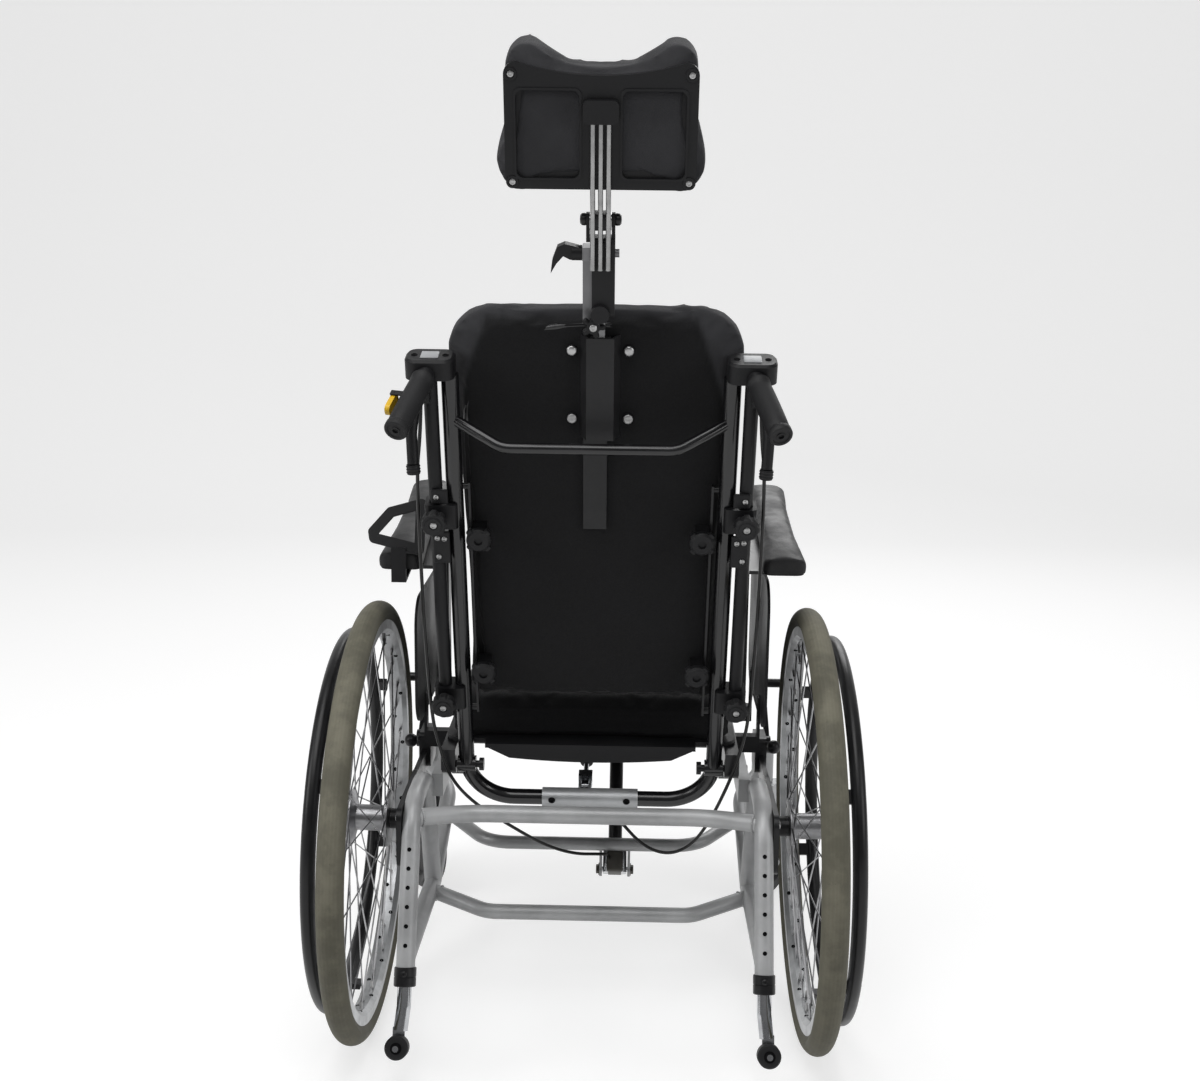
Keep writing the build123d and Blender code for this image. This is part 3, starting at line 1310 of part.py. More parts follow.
def footprint_middle(parts):
    """Middle of the footprint and the lowest height, which the origin moves to."""
    boxes = [part.bounding_box() for part in parts.values()]
    x = (min(box.min.X for box in boxes) + max(box.max.X for box in boxes)) / 2
    y = (min(box.min.Y for box in boxes) + max(box.max.Y for box in boxes)) / 2
    return x, y, min(box.min.Z for box in boxes)


def export(parts):
    """Write every node as a STEP file, moved so that the origin is under the middle."""
    os.makedirs("parts", exist_ok=True)
    x, y, z = footprint_middle(parts)
    print("origin moved by", round(x, 3), round(y, 3), round(z, 3))
    for name, part in parts.items():
        solids = [Pos(-x, -y, -z) * solid for solid in part.solids()]
        shape = solids[0] if len(solids) == 1 else Compound(children=solids)
        export_step(shape, "parts/" + name + ".step")


if __name__ == "__main__":
    export(build())
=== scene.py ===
"""Looks of a tilt in space wheelchair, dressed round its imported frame.

Lengths are metres in the frame's own axes: +X is the right side as seen from behind, +Y is
forward and +Z is up. Places on the leaned back are given upright and turned by Frame.on_back.
"""

import json
import logging
import math
from dataclasses import dataclass, field
from enum import Enum
from typing import Optional, Sequence, Union

import bmesh
import bpy
from mathutils import Matrix, Vector
from mathutils.bvhtree import BVHTree

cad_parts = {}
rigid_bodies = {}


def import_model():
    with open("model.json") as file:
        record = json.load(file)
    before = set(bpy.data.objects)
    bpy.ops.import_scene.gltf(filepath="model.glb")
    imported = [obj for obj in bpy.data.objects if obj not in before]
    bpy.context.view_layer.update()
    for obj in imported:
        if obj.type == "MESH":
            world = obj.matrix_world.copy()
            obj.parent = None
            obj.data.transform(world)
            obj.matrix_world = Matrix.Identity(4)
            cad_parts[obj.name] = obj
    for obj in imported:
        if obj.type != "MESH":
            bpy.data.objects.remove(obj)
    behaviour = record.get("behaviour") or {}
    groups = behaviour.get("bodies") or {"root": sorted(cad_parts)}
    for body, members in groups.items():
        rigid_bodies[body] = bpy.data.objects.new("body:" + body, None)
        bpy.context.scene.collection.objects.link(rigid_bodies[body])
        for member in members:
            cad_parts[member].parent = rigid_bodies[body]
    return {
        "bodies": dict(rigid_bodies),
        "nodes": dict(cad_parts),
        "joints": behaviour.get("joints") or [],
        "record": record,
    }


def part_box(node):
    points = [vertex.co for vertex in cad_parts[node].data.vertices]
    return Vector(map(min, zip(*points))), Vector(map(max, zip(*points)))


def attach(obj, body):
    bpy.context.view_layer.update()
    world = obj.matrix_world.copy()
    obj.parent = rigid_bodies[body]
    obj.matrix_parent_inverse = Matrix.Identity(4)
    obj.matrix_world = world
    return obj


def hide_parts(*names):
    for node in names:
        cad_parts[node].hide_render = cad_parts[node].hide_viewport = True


log = logging.getLogger("wheelchair")

Colour = tuple[float, float, float]
Point = tuple[float, float, float]
MM = 0.001
BACK_LEAN = math.radians(17)
SIDES = {"left": -1, "right": 1}


# ---------------------------------------------------------------- shader tools


class Value:
    """A shader socket that takes part in sums, each of which adds a Math node."""

    def __init__(self, shader: "Shader", socket: bpy.types.NodeSocket) -> None:
        """Keep the socket and the shader it belongs to."""
        self.shader = shader
        self.socket = socket

    def math(self, operation: str, *others: Union["Value", float]) -> "Value":
        """Add one Math node.

        Args:
            operation: the Math node's operation.
            others: its second and third values.

        Returns:
            The node's result.
        """
        sockets = dict(enumerate((self, *others)))
        return self.shader.node("ShaderNodeMath", {"operation": operation}, sockets)

    def __add__(self, other: Union["Value", float]) -> "Value":
        """Sum."""
        return self.math("ADD", other)

    __radd__ = __add__

    def __rsub__(self, other: float) -> "Value":
        """Difference from a number."""
        return self.math("MULTIPLY", -1.0).math("ADD", other)

    def __mul__(self, other: Union["Value", float]) -> "Value":
        """Product."""
        return self.math("MULTIPLY", other)

    __rmul__ = __mul__

    def sine(self) -> "Value":
        """Sine of an angle in radians."""
        return self.math("SINE")

    def ramp(self, low: float, high: float, start: float = 0.0, end: float = 1.0) -> "Value":
        """Smooth step from one result to another.

        Args:
            low: the value at which the step begins.
            high: the value at which it ends.
            start: the result up to low.
            end: the result from high on.

        Returns:
            The stepped value.
        """
        sockets = {"Value": self, "From Min": low, "From Max": high, "To Min": start, "To Max": end}
        return self.shader.node("ShaderNodeMapRange", {"interpolation_type": "SMOOTHSTEP"}, sockets)


Input = Union[Value, float, Sequence[float]]


class Shader:
    """One material's node tree and the few kinds of node that the finishes use."""

    def __init__(self, name: str) -> None:
        """Start an empty node tree.

        Args:
            name: the material's name.
        """
        self.material = bpy.data.materials.new(name)
        self.material.use_nodes = True
        self.tree = self.material.node_tree
        self.tree.nodes.clear()

    def node(self, kind: str, settings: Optional[dict] = None, sockets: Optional[dict] = None,
             output: Union[int, str] = 0) -> Value:
        """Add a node.

        Args:
            kind: the node's type.
            settings: its own settings, set before its sockets.
            sockets: values or links, by the sockets' names or places.
            output: the output that is handed on.

        Returns:
            The chosen output.
        """
        made = self.tree.nodes.new(kind)
        for key, value in (settings or {}).items():
            setattr(made, key, value)
        for key, value in (sockets or {}).items():
            if isinstance(value, Value):
                self.tree.links.new(value.socket, made.inputs[key])
            else:
                made.inputs[key].default_value = value
        return Value(self, made.outputs[output]) if len(made.outputs) else Value(self, None)

    def place(self, centre: Point = (0, 0, 0), turn: Point = (0, 0, 0), scale: Point = (1, 1, 1)) -> Value:
        """Place on the object, about a centre and turned with a piece.

        Args:
            centre: the pattern's centre.
            turn: angles that the piece is turned by, in radians.
            scale: stretch of each axis.

        Returns:
            The place as a vector.
        """
        spot = self.node("ShaderNodeTexCoord", output="Object")
        moved = self.node("ShaderNodeVectorMath", {"operation": "SUBTRACT"}, {0: spot, 1: centre})
        turned = self.node("ShaderNodeVectorRotate", {"rotation_type": "EULER_XYZ", "invert": True},
                           {"Vector": moved, "Rotation": turn})
        return self.node("ShaderNodeVectorMath", {"operation": "MULTIPLY"}, {0: turned, 1: scale})

    def parts(self, vector: Value) -> tuple[Value, Value, Value]:
        """The three numbers of a vector."""
        split = self.node("ShaderNodeSeparateXYZ", sockets={0: vector}, output="X")
        outputs = split.socket.node.outputs
        return split, Value(self, outputs["Y"]), Value(self, outputs["Z"])

    def noise(self, vector: Value, scale: float, detail: float = 3.0, roughness: float = 0.5) -> Value:
        """Noise between 0 and 1.

        Args:
            vector: the place.
            scale: spots per metre.
            detail: octaves.
            roughness: strength of the fine octaves.

        Returns:
            The noise.
        """
        return self.node("ShaderNodeTexNoise", {}, {"Vector": vector, "Scale": scale, "Detail": detail,
                                                    "Roughness": roughness})

    def cells(self, vector: Value, scale: float) -> Value:
        """Distance to the nearest of scattered points, in cells."""
        return self.node("ShaderNodeTexVoronoi", {}, {"Vector": vector, "Scale": scale})

    def blend(self, share: Input, first: Input, second: Input) -> Value:
        """Mix of two colours.

        Args:
            share: share of the second.
            first: colour at 0.
            second: colour at 1.

        Returns:
            The mixed colour.
        """
        pair = [(*c, 1.0) if not isinstance(c, Value) else c for c in (first, second)]
        return self.node("ShaderNodeMix", {"data_type": "RGBA"}, {0: share, 6: pair[0], 7: pair[1]}, 2)

    def bump(self, height: Value, depth: float, strength: float = 1.0,
             under: Optional[Value] = None) -> Value:
        """Normal of a surface with relief.

        Args:
            height: relief from 0 to 1.
            depth: metres that a height of 1 stands for.
            strength: share of the effect.
            under: normal of coarser relief below it.

        Returns:
            The normal.
        """
        sockets = {"Height": height, "Distance": depth, "Strength": strength}
        if under is not None:
            sockets["Normal"] = under
        return self.node("ShaderNodeBump", {}, sockets)

    def surface(self, base: Input, roughness: Input, metallic: Input = 0.0, normal: Optional[Value] = None,
                **fixed: float) -> bpy.types.Material:
        """Close the tree with a Principled shader.

        Args:
            base: base colour.
            roughness: roughness.
            metallic: metallic share.
            normal: surface normal.
            fixed: numbers for the shader's other sockets, with underscores for spaces.

        Returns:
            The finished material.
        """
        colour = base if isinstance(base, Value) else (*base, 1.0)
        sockets = {"Base Color": colour, "Roughness": roughness, "Metallic": metallic}
        if normal is not None:
            sockets["Normal"] = normal
        sockets.update({key.replace("_", " "): value for key, value in fixed.items()})
        shader = self.node("ShaderNodeBsdfPrincipled", {}, sockets)
        self.node("ShaderNodeOutputMaterial", {}, {"Surface": shader})
        return self.material


# ---------------------------------------------------------------- finishes


@dataclass(frozen=True)
class Coating:
    """Powder coat or anodising on metal, with fine peel, dust and small scuffs."""

    name: str
    colour: Colour
    roughness: float
    metallic: float = 0.0
    peel: float = 0.03 * MM
    scuffs: float = 0.3
    shine: float = 0.35

    def material(self) -> bpy.types.Material:
        """Build the finish."""
        shader = Shader(self.name)
        spot = shader.place()
        cloud = shader.noise(spot, 14, 4, 0.6)
        grain = shader.noise(spot, 900, 2, 0.5)
        scratch = shader.noise(shader.place(scale=(60, 260, 900)), 1.0, 2, 0.6).ramp(0.66, 0.76)
        worn = scratch * cloud.ramp(0.5, 0.7) * self.scuffs
        deep = tuple(0.86 * c for c in self.colour)
        light = tuple(min(1.0, 1.08 * c + 0.004) for c in self.colour)
        bare = tuple(min(1.0, 1.5 * c + 0.05) for c in self.colour)
        tone = shader.blend(cloud.ramp(0.35, 0.65), deep, light)
        base = shader.blend(worn, tone, bare)
        rough = cloud.ramp(0.3, 0.7, self.roughness - 0.05, self.roughness + 0.06) + worn * 0.2
        return shader.surface(base, rough, self.metallic, shader.bump(grain, self.peel),
                              Specular_IOR_Level=self.shine)


@dataclass(frozen=True)
class BareMetal:
    """Drawn, turned or plated metal with faint lines and finger marks."""

    name: str
    colour: Colour
    roughness: float
    lines: float = 0.02 * MM
    stretch: Point = (900, 120, 120)

    def material(self) -> bpy.types.Material:
        """Build the finish."""
        shader = Shader(self.name)
        spot = shader.place()
        line = shader.noise(shader.place(scale=self.stretch), 1.0, 3, 0.6)
        smear = shader.noise(spot, 22, 4, 0.65)
        dull = tuple(0.72 * c for c in self.colour)
        base = shader.blend(smear.ramp(0.35, 0.7), self.colour, dull)
        rough = smear.ramp(0.3, 0.75, self.roughness, self.roughness + 0.12)
        return shader.surface(base, rough, 1.0, shader.bump(line, self.lines))


@dataclass(frozen=True)
class Moulding:
    """Moulded plastic with a fine spark grain, dust and rubbed patches."""

    name: str
    colour: Colour
    roughness: float
    grain: float = 0.06 * MM
    pitch: float = 1400
    dust: float = 0.25
    shine: float = 0.25

    def material(self) -> bpy.types.Material:
        """Build the finish."""
        shader = Shader(self.name)
        spot = shader.place()
        pits = shader.cells(spot, self.pitch)
        cloud = shader.noise(spot, 9, 5, 0.6)
        dust = shader.noise(spot, 320, 2, 0.7).ramp(0.62, 0.8) * cloud.ramp(0.45, 0.7) * self.dust
        dark = tuple(0.8 * c for c in self.colour)
        light = tuple(1.15 * c + 0.002 for c in self.colour)
        grey = tuple(c + 0.05 for c in self.colour)
        base = shader.blend(dust, shader.blend(cloud.ramp(0.3, 0.7), dark, light), grey)
        rough = cloud.ramp(0.35, 0.7, self.roughness - 0.06, self.roughness + 0.08)
        return shader.surface(base, rough, 0.0, shader.bump(pits, self.grain),
                              Specular_IOR_Level=self.shine)


@dataclass(frozen=True)
class Cloth:
    """Knitted or woven cover: crossed yarns, soft folds and lint, with painted shade in the folds' hollows
    and between the yarns, and a darker panel if marked.
    """

    name: str
    colour: Colour
    panel: Colour
    pitch: float = 1.6 * MM
    relief: float = 0.25 * MM
    sheen: float = 0.12

    def material(self) -> bpy.types.Material:
        """Build the finish. The attribute "panel" marks the darker panel."""
        shader = Shader(self.name)
        turn = (BACK_LEAN, 0, 0)
        across, through, up = shader.parts(shader.place(turn=turn))
        wave = 2 * math.pi / self.pitch
        warp = (across * wave).sine()
        weft = ((up + through * 0.9) * wave).sine()
        yarn = (warp * weft) * 0.5 + 0.5
        spot = shader.place()
        fold = shader.noise(spot, 11, 4, 0.55)
        lint = shader.noise(spot, 520, 2, 0.7)
        mark = shader.node("ShaderNodeAttribute", {"attribute_name": "panel"}, output="Fac")
        base = shader.blend(mark, self.colour, self.panel)
        # Painted shade: the colour runs to deep where the folds and the yarns are low; lint varies it too.
        tone = fold.ramp(0.3, 0.7) * 0.5 + lint * 0.3 + yarn * 0.3
        deep = shader.blend(0.55, base, (0.004, 0.004, 0.004))
        colour = shader.blend(tone, deep, base)
        coarse = shader.bump(fold, 1.2 * MM, 0.5)
        return shader.surface(colour, lint.ramp(0.2, 0.8, 0.72, 0.92), 0.0,
                              shader.bump(yarn + lint * 0.4, self.relief, 1.0, coarse),
                              Sheen_Weight=self.sheen, Sheen_Roughness=0.45, Specular_IOR_Level=0.2)


@dataclass(frozen=True)
class Grain:
    """Coated cloth with a leather grain and painted shade in its pits and creases, for pads that hands rest
    on.
    """

    name: str
    colour: Colour
    roughness: float
    pitch: float = 420

    def material(self) -> bpy.types.Material:
        """Build the finish."""
        shader = Shader(self.name)
        spot = shader.place()
        pebble = shader.cells(spot, self.pitch)
        crease = shader.noise(spot, 26, 5, 0.6)
        dark = tuple(0.7 * c for c in self.colour)
        # Painted shade: darker where the grain's pits and the creases are low.
        base = shader.blend(pebble.ramp(0.1, 0.6) * 0.6 + crease * 0.4, dark, self.colour)
        rough = crease.ramp(0.3, 0.7, self.roughness - 0.08, self.roughness + 0.1)
        coarse = shader.bump(crease, 0.8 * MM, 0.6)
        return shader.surface(base, rough, 0.0, shader.bump(pebble, 0.12 * MM, 0.9, coarse),
                              Specular_IOR_Level=0.3)


@dataclass(frozen=True)
class TyreRubber:
    """Solid grey rubber of a drive wheel: ribbed tread, rubbed crown, dust, dark specks and painted shade in
    the tread's grooves.
    """

    name: str
    centre: Point
    camber: float
    radius: float
    colour: Colour = (0.115, 0.110, 0.082)
    dusty: Colour = (0.20, 0.19, 0.145)
    dirt_and_groove_shade: Colour = (0.030, 0.029, 0.025)
    rib_pitch: float = 4.5 * MM
    blocks: float = 150.0
    slant: float = 180.0
    relief: float = 0.22 * MM

    def material(self) -> bpy.types.Material:
        """Build the finish in the wheel's own round coordinates."""
        shader = Shader(self.name)
        local = shader.place(self.centre, (0, self.camber, 0))
        across, forward, up = shader.parts(local)
        around = forward.math("ARCTAN2", up)
        reach = ((forward * forward) + (up * up)).math("SQRT")
        crown = reach.ramp(self.radius - 0.011, self.radius - 0.002)
        rib = (across * (2 * math.pi / self.rib_pitch)).sine().ramp(-0.6, 0.9)
        block = ((around * self.blocks) + across * self.slant).sine().ramp(-0.6, 0.6)
        tread = rib * 0.5 + block * 0.10
        spot = shader.place()
        cloud = shader.noise(spot, 18, 5, 0.65)
        speck = shader.noise(spot, 420, 3, 0.75).ramp(0.64, 0.74)
        fine = shader.noise(spot, 1500, 2, 0.6)
        tone = shader.blend(cloud.ramp(0.35, 0.68) * (crown * 0.6 + 0.4), self.colour, self.dusty)
        # Painted shade: darker in the tread's grooves on the crown. The same dark colour also gives the
        # specks.
        groove_shaded = shader.blend((1 - tread) * crown * 0.12, tone, self.dirt_and_groove_shade)
        base = shader.blend(speck * 0.55, groove_shaded, self.dirt_and_groove_shade)
        height = tread * crown + fine * 0.25
        rough = cloud.ramp(0.3, 0.7, 0.62, 0.82)
        return shader.surface(base, rough, 0.0, shader.bump(height, self.relief), Specular_IOR_Level=0.3)


@dataclass(frozen=True)
class BlackScrewAndHoleShade:
    """Painted shade inside a hole or slot, and the black of dark screws."""

    name: str = "deep_black"

    def material(self) -> bpy.types.Material:
        """Build the finish."""
        shader = Shader(self.name)
        cloud = shader.noise(shader.place(), 200, 2, 0.5)
        base = shader.blend(cloud, (0.003, 0.003, 0.003), (0.008, 0.008, 0.009))
        return shader.surface(base, 0.85, Specular_IOR_Level=0.1)


class Finish(Enum):
    """The finishes of the chair, one material each."""

    SILVER = Coating("silver_powder_coat", (0.43, 0.435, 0.44), 0.42, 0.25, 0.03 * MM, 0.3, 0.5)
    CHANNEL = Coating("bead_blasted_channel", (0.44, 0.45, 0.46), 0.42, 0.5, 0.06 * MM, 0.2, 0.5)
    DARK = Coating("black_powder_coat", (0.006, 0.006, 0.007), 0.33, 0.0, 0.03 * MM, 0.06)
    GLOSS = Coating("black_gloss_tube", (0.006, 0.006, 0.007), 0.20, 0.0, 0.015 * MM, 0.06, 0.55)
    HANDRIM = Coating("handrim_coat", (0.007, 0.007, 0.008), 0.34, 0.0, 0.015 * MM, 0.12, 0.3)
    GREY_METAL = Coating("dark_grey_bracket", (0.014, 0.014, 0.015), 0.40, 0.1, 0.03 * MM, 0.15, 0.3)
    POST = Coating("grey_post", (0.17, 0.17, 0.175), 0.34, 0.7, 0.03 * MM, 0.2, 0.5)
    HEAD = Coating("brown_grey_casting", (0.10, 0.095, 0.085), 0.50, 0.6, 0.12 * MM, 0.4, 0.4)
    STEEL = BareMetal("drawn_steel", (0.40, 0.40, 0.41), 0.26)
    ALLOY = BareMetal("rim_alloy", (0.50, 0.51, 0.52), 0.34, 0.03 * MM, (90, 500, 500))
    CHROME = BareMetal("chrome_plate", (0.55, 0.56, 0.58), 0.10, 0.004 * MM)
    ROD = BareMetal("grey_chrome_rod", (0.34, 0.34, 0.34), 0.22, 0.006 * MM)
    BOLT = BareMetal("zinc_bolt", (0.42, 0.42, 0.42), 0.32)
    PLASTIC = Moulding("black_moulding", (0.008, 0.008, 0.009), 0.48)
    SHELL = Moulding("back_shell_moulding", (0.0045, 0.0045, 0.005), 0.55, 0.05 * MM, 1100, 0.06, 0.15)
    LABEL_GREY = Moulding("light_grey_moulding", (0.34, 0.35, 0.36), 0.42, shine=0.4)
    # Lighter grey than the shell: a painted highlight along the shell's edge.
    BEAD = Moulding("edge_bead", (0.030, 0.030, 0.031), 0.36, 0.02 * MM, 1200, 0.1, 0.5)
    YELLOW = Moulding("yellow_moulding", (0.72, 0.44, 0.018), 0.35, 0.03 * MM, 1400, 0.1, 0.4)
    RUBBER = Moulding("soft_black_rubber", (0.013, 0.013, 0.014), 0.60, 0.10 * MM, 900, 0.35, 0.3)
    CASTOR = Moulding("castor_rubber", (0.014, 0.014, 0.015), 0.55, 0.08 * MM, 700, 0.5, 0.25)
    COVER = Cloth("charcoal_cover", (0.046, 0.046, 0.050), (0.009, 0.009, 0.010))
    SEAT_COVER = Cloth("black_cover", (0.009, 0.009, 0.010), (0.006, 0.006, 0.007), sheen=0.05)
    PAD = Grain("arm_pad_cover", (0.014, 0.014, 0.015), 0.50)
    SHEATH = Moulding("cable_sheath", (0.006, 0.006, 0.006), 0.34, 0.01 * MM, 1500, 0.05, 0.35)
    # Painted shade of holes, and the black of dark screws.
    DEEP = BlackScrewAndHoleShade()


class Palette:
    """Makes each material once and hands it out."""

    def __init__(self) -> None:
        """Start with no materials."""
        self.made: dict[str, bpy.types.Material] = {}

    def of(self, finish: object) -> bpy.types.Material:
        """Material of a finish.

        Args:
            finish: a Finish, or a finish class of its own.

        Returns:
            The material, made at the first call.
        """
        maker = finish.value if isinstance(finish, Finish) else finish
        if maker.name not in self.made:
            self.made[maker.name] = maker.material()
        return self.made[maker.name]


# ---------------------------------------------------------------- frame and workshop


@dataclass
class Frame:
    """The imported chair: its joints, its nodes and the leaned axes of its back."""

    loaded: dict
    lean: float = BACK_LEAN
    lean_height: float = 0.479
    palette: Palette = field(default_factory=Palette)

    def joint(self, name: str) -> dict:
        """The joint of that name."""
        return next(joint for joint in self.loaded["joints"] if joint["name"] == name)

    @property
    def axle_y(self) -> float:
        """Depth of the rear axle."""
        return self.joint("drive_wheel_turn_left")["pos_m"][1]

    @property
    def back(self) -> Matrix:
        """Turn from the upright back to its place on the chair."""
        return Matrix.Translation((0, self.axle_y, self.lean_height)) @ Matrix.Rotation(self.lean, 4, "X")

    def on_back(self, x: float, y: float, z: float) -> Vector:
        """Place of an upright point of the back, given in millimetres."""
        return self.back @ (Vector((x, y, z)) * MM)

    def at(self, x: float, y: float, z: float) -> Vector:
        """Place given in millimetres from the floor under the rear axle."""
        return Vector((x * MM, y * MM + self.axle_y, z * MM))

    def dress(self, finish: object, *nodes: str) -> None:
        """Give CAD nodes a finish.

        Args:
            finish: the finish.
            nodes: names of the nodes.
        """
        material = self.palette.of(finish)
        for name in nodes:
            slots = self.loaded["nodes"][name].data.materials
            if not len(slots):
                slots.append(material)
            for index in range(len(slots)):
                slots[index] = material

    def add(self, name: str, form: bmesh.types.BMesh, finish: object, body: str, slot: str,
            sharp: float = 40.0) -> bpy.types.Object:
        """Turn a form into a piece that rides on a body.

        Args:
            name: the piece's name.
            form: its shape, which is freed.
            finish: its finish.
            body: the CAD body that carries it.
            slot: the record's material slot.
            sharp: degrees from which an edge stays sharp.

        Returns:
            The new object.
        """
        for face in form.faces:
            face.smooth = True
        for edge in form.edges:
            edge.smooth = edge.calc_face_angle(math.pi) < math.radians(sharp)
        mesh = bpy.data.meshes.new(name)
        form.to_mesh(mesh)
        form.free()
        return self.place(bpy.data.objects.new(name, mesh), finish, body, slot)

    def place(self, piece: bpy.types.Object, finish: object, body: str, slot: str) -> bpy.types.Object:
        """Link a piece, give it its finish and let it ride.

        Args:
            piece: the new object.
            finish: its finish.
            body: the CAD body that carries it.
            slot: the record's material slot; not used.

        Returns:
            The same object.
        """
        if piece.name not in bpy.context.scene.collection.objects:
            bpy.context.scene.collection.objects.link(piece)
        piece.data.materials.clear()
        piece.data.materials.append(self.palette.of(finish))
        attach(piece, body)
        log.info("%s rides on %s", piece.name, body)
        return piece


def along(start: Sequence[float], end: Sequence[float]) -> Matrix:
    """Turn and move that lays +Z from one point towards another.

    Args:
        start: the new origin.
        end: a point that +Z then passes through.

    Returns:
        The matrix.
    """
    run = Vector(end) - Vector(start)
    return Matrix.Translation(start) @ run.to_track_quat("Z", "Y").to_matrix().to_4x4()


def in_mm(*outline: tuple[float, float]) -> list[tuple[float, float]]:
    """Outline of a turned piece in metres.

    Args:
        outline: radius and height of each point, in millimetres.

    Returns:
        The same points in metres.
    """
    return [(radius * MM, height * MM) for radius, height in outline]


def lathe(form: bmesh.types.BMesh, outline: Sequence[tuple[float, float]], where: Matrix,
          steps: int = 32) -> None:
    """Turn an outline about Z into a closed body and add it to a form.

    Args:
        form: the form that grows.
        outline: radius and height of each corner, in metres, with radius 0 at a closed end.
        where: the turned body's place.
        steps: sides of the turned body.
    """
    part = bmesh.new()
    verts = [part.verts.new((radius, 0, height)) for radius, height in outline]
    edges = [part.edges.new(pair) for pair in zip(verts, verts[1:])]
    bmesh.ops.spin(part, geom=verts + edges, cent=(0, 0, 0), axis=(0, 0, 1), angle=2 * math.pi, steps=steps,
                   use_merge=True)
    bmesh.ops.remove_doubles(part, verts=part.verts, dist=1e-6)
    bmesh.ops.recalc_face_normals(part, faces=part.faces)
    join(form, part, where)


def join(form: bmesh.types.BMesh, part: bmesh.types.BMesh, where: Matrix) -> None:
    """Add one form to another.

    Args:
        form: the form that grows.
        part: the form that is added and freed.
        where: its place.
    """
    bmesh.ops.transform(part, matrix=where, verts=part.verts)
    carrier = bpy.data.meshes.new("carrier")
    part.to_mesh(carrier)
    part.free()
    form.from_mesh(carrier)
    bpy.data.meshes.remove(carrier)


def rounded_block(form: bmesh.types.BMesh, size: Sequence[float], where: Matrix, radius: float,
                  segments: int = 3) -> None:
    """Add a block with rounded edges.

    Args:
        form: the form that grows.
        size: its three lengths.
        where: its place.
        radius: the edges' radius.
        segments: steps of the rounding.
    """
    part = bmesh.new()
    bmesh.ops.create_cube(part, size=1.0)
    bmesh.ops.scale(part, vec=size, verts=part.verts)
    bmesh.ops.bevel(part, geom=part.edges, offset=radius, segments=segments, profile=0.5, affect="EDGES",
                    material=-1)
    join(form, part, where)


def rod(form: bmesh.types.BMesh, start: Sequence[float], end: Sequence[float], radius: float,
        sides: int = 20, bevel: float = 0.0) -> None:
    """Add a round bar.

    Args:
        form: the form that grows.
        start: one end of its axis.
        end: the other end.
        radius: its radius.
        sides: its sides.
        bevel: rounding of its end edges.
    """
    length = (Vector(end) - Vector(start)).length
    lip = min(bevel, 0.45 * length, 0.9 * radius)
    outline = [(0, 0), (radius - lip, 0), (radius, lip), (radius, length - lip), (radius - lip, length),
               (0, length)]
    if lip <= 0:
        outline = [(0, 0), (radius, 0), (radius, length), (0, length)]
    lathe(form, outline, along(start, end), sides)


def dome_bolt(form: bmesh.types.BMesh, where: Matrix, radius: float, height: float,
              recess: float = 0.0) -> None:
    """Add a domed bolt head with an optional socket.

    Args:
        form: the form that grows.
        where: its seat, with +Z outwards.
        radius: radius of the head.
        height: height of the dome.
        recess: radius of the socket, or 0 for none.
    """
    arc = [(radius * math.cos(a), height * (0.35 + 0.65 * math.sin(a))) for a in
           (math.radians(step) for step in (0, 25, 50, 72))]
    outline = [(0, 0), (radius, 0), *arc]
    if recess > 0:
        outline = [point for point in outline if point[0] == 0 or point[0] > recess]
        outline += [(recess, height * 0.95), (recess * 0.9, height * 0.4), (0, height * 0.35)]
    else:
        outline.append((0, height))
    lathe(form, outline, where, 20)


def hex_head(form: bmesh.types.BMesh, where: Matrix, radius: float, height: float) -> None:
    """Add a hexagon head on its washer.

    Args:
        form: the form that grows.
        where: its seat, with +Z outwards.
        radius: corner radius of the hexagon.
        height: its height.
    """
    lathe(form, [(0, 0), (radius * 1.35, 0), (radius * 1.35, 0.22 * height), (0, 0.22 * height)], where, 24)
    outline = [(0, 0.2 * height), (radius, 0.2 * height), (radius, 0.9 * height), (0.86 * radius, height),
               (0, height)]
    lathe(form, outline, where, 6)


def arc_points(start: Sequence[float], middle: Sequence[float], end: Sequence[float],
               steps: int = 8) -> list[tuple[float, float]]:
    """Points of the arc through three places of a plane.

    Args:
        start: the first place.
        middle: a place between the ends.
        end: the last place.
        steps: points after the first.

    Returns:
        The points, from start to end.
    """
    origin = Vector(start)
    mid, last = Vector(middle) - origin, Vector(end) - origin
    double = 2 * (mid.x * last.y - mid.y * last.x)
    hub = Vector((last.y * mid.length_squared - mid.y * last.length_squared,
                  mid.x * last.length_squared - last.x * mid.length_squared)) / double
    first_angle = math.atan2(-hub.y, -hub.x)
    sweep = math.remainder(math.atan2(last.y - hub.y, last.x - hub.x) - first_angle, 2 * math.pi)
    angles = (first_angle + sweep * step / steps for step in range(steps + 1))
    return [(origin.x + hub.x + hub.length * math.cos(angle), origin.y + hub.y + hub.length * math.sin(angle))
            for angle in angles]


# ---------------------------------------------------------------- studio


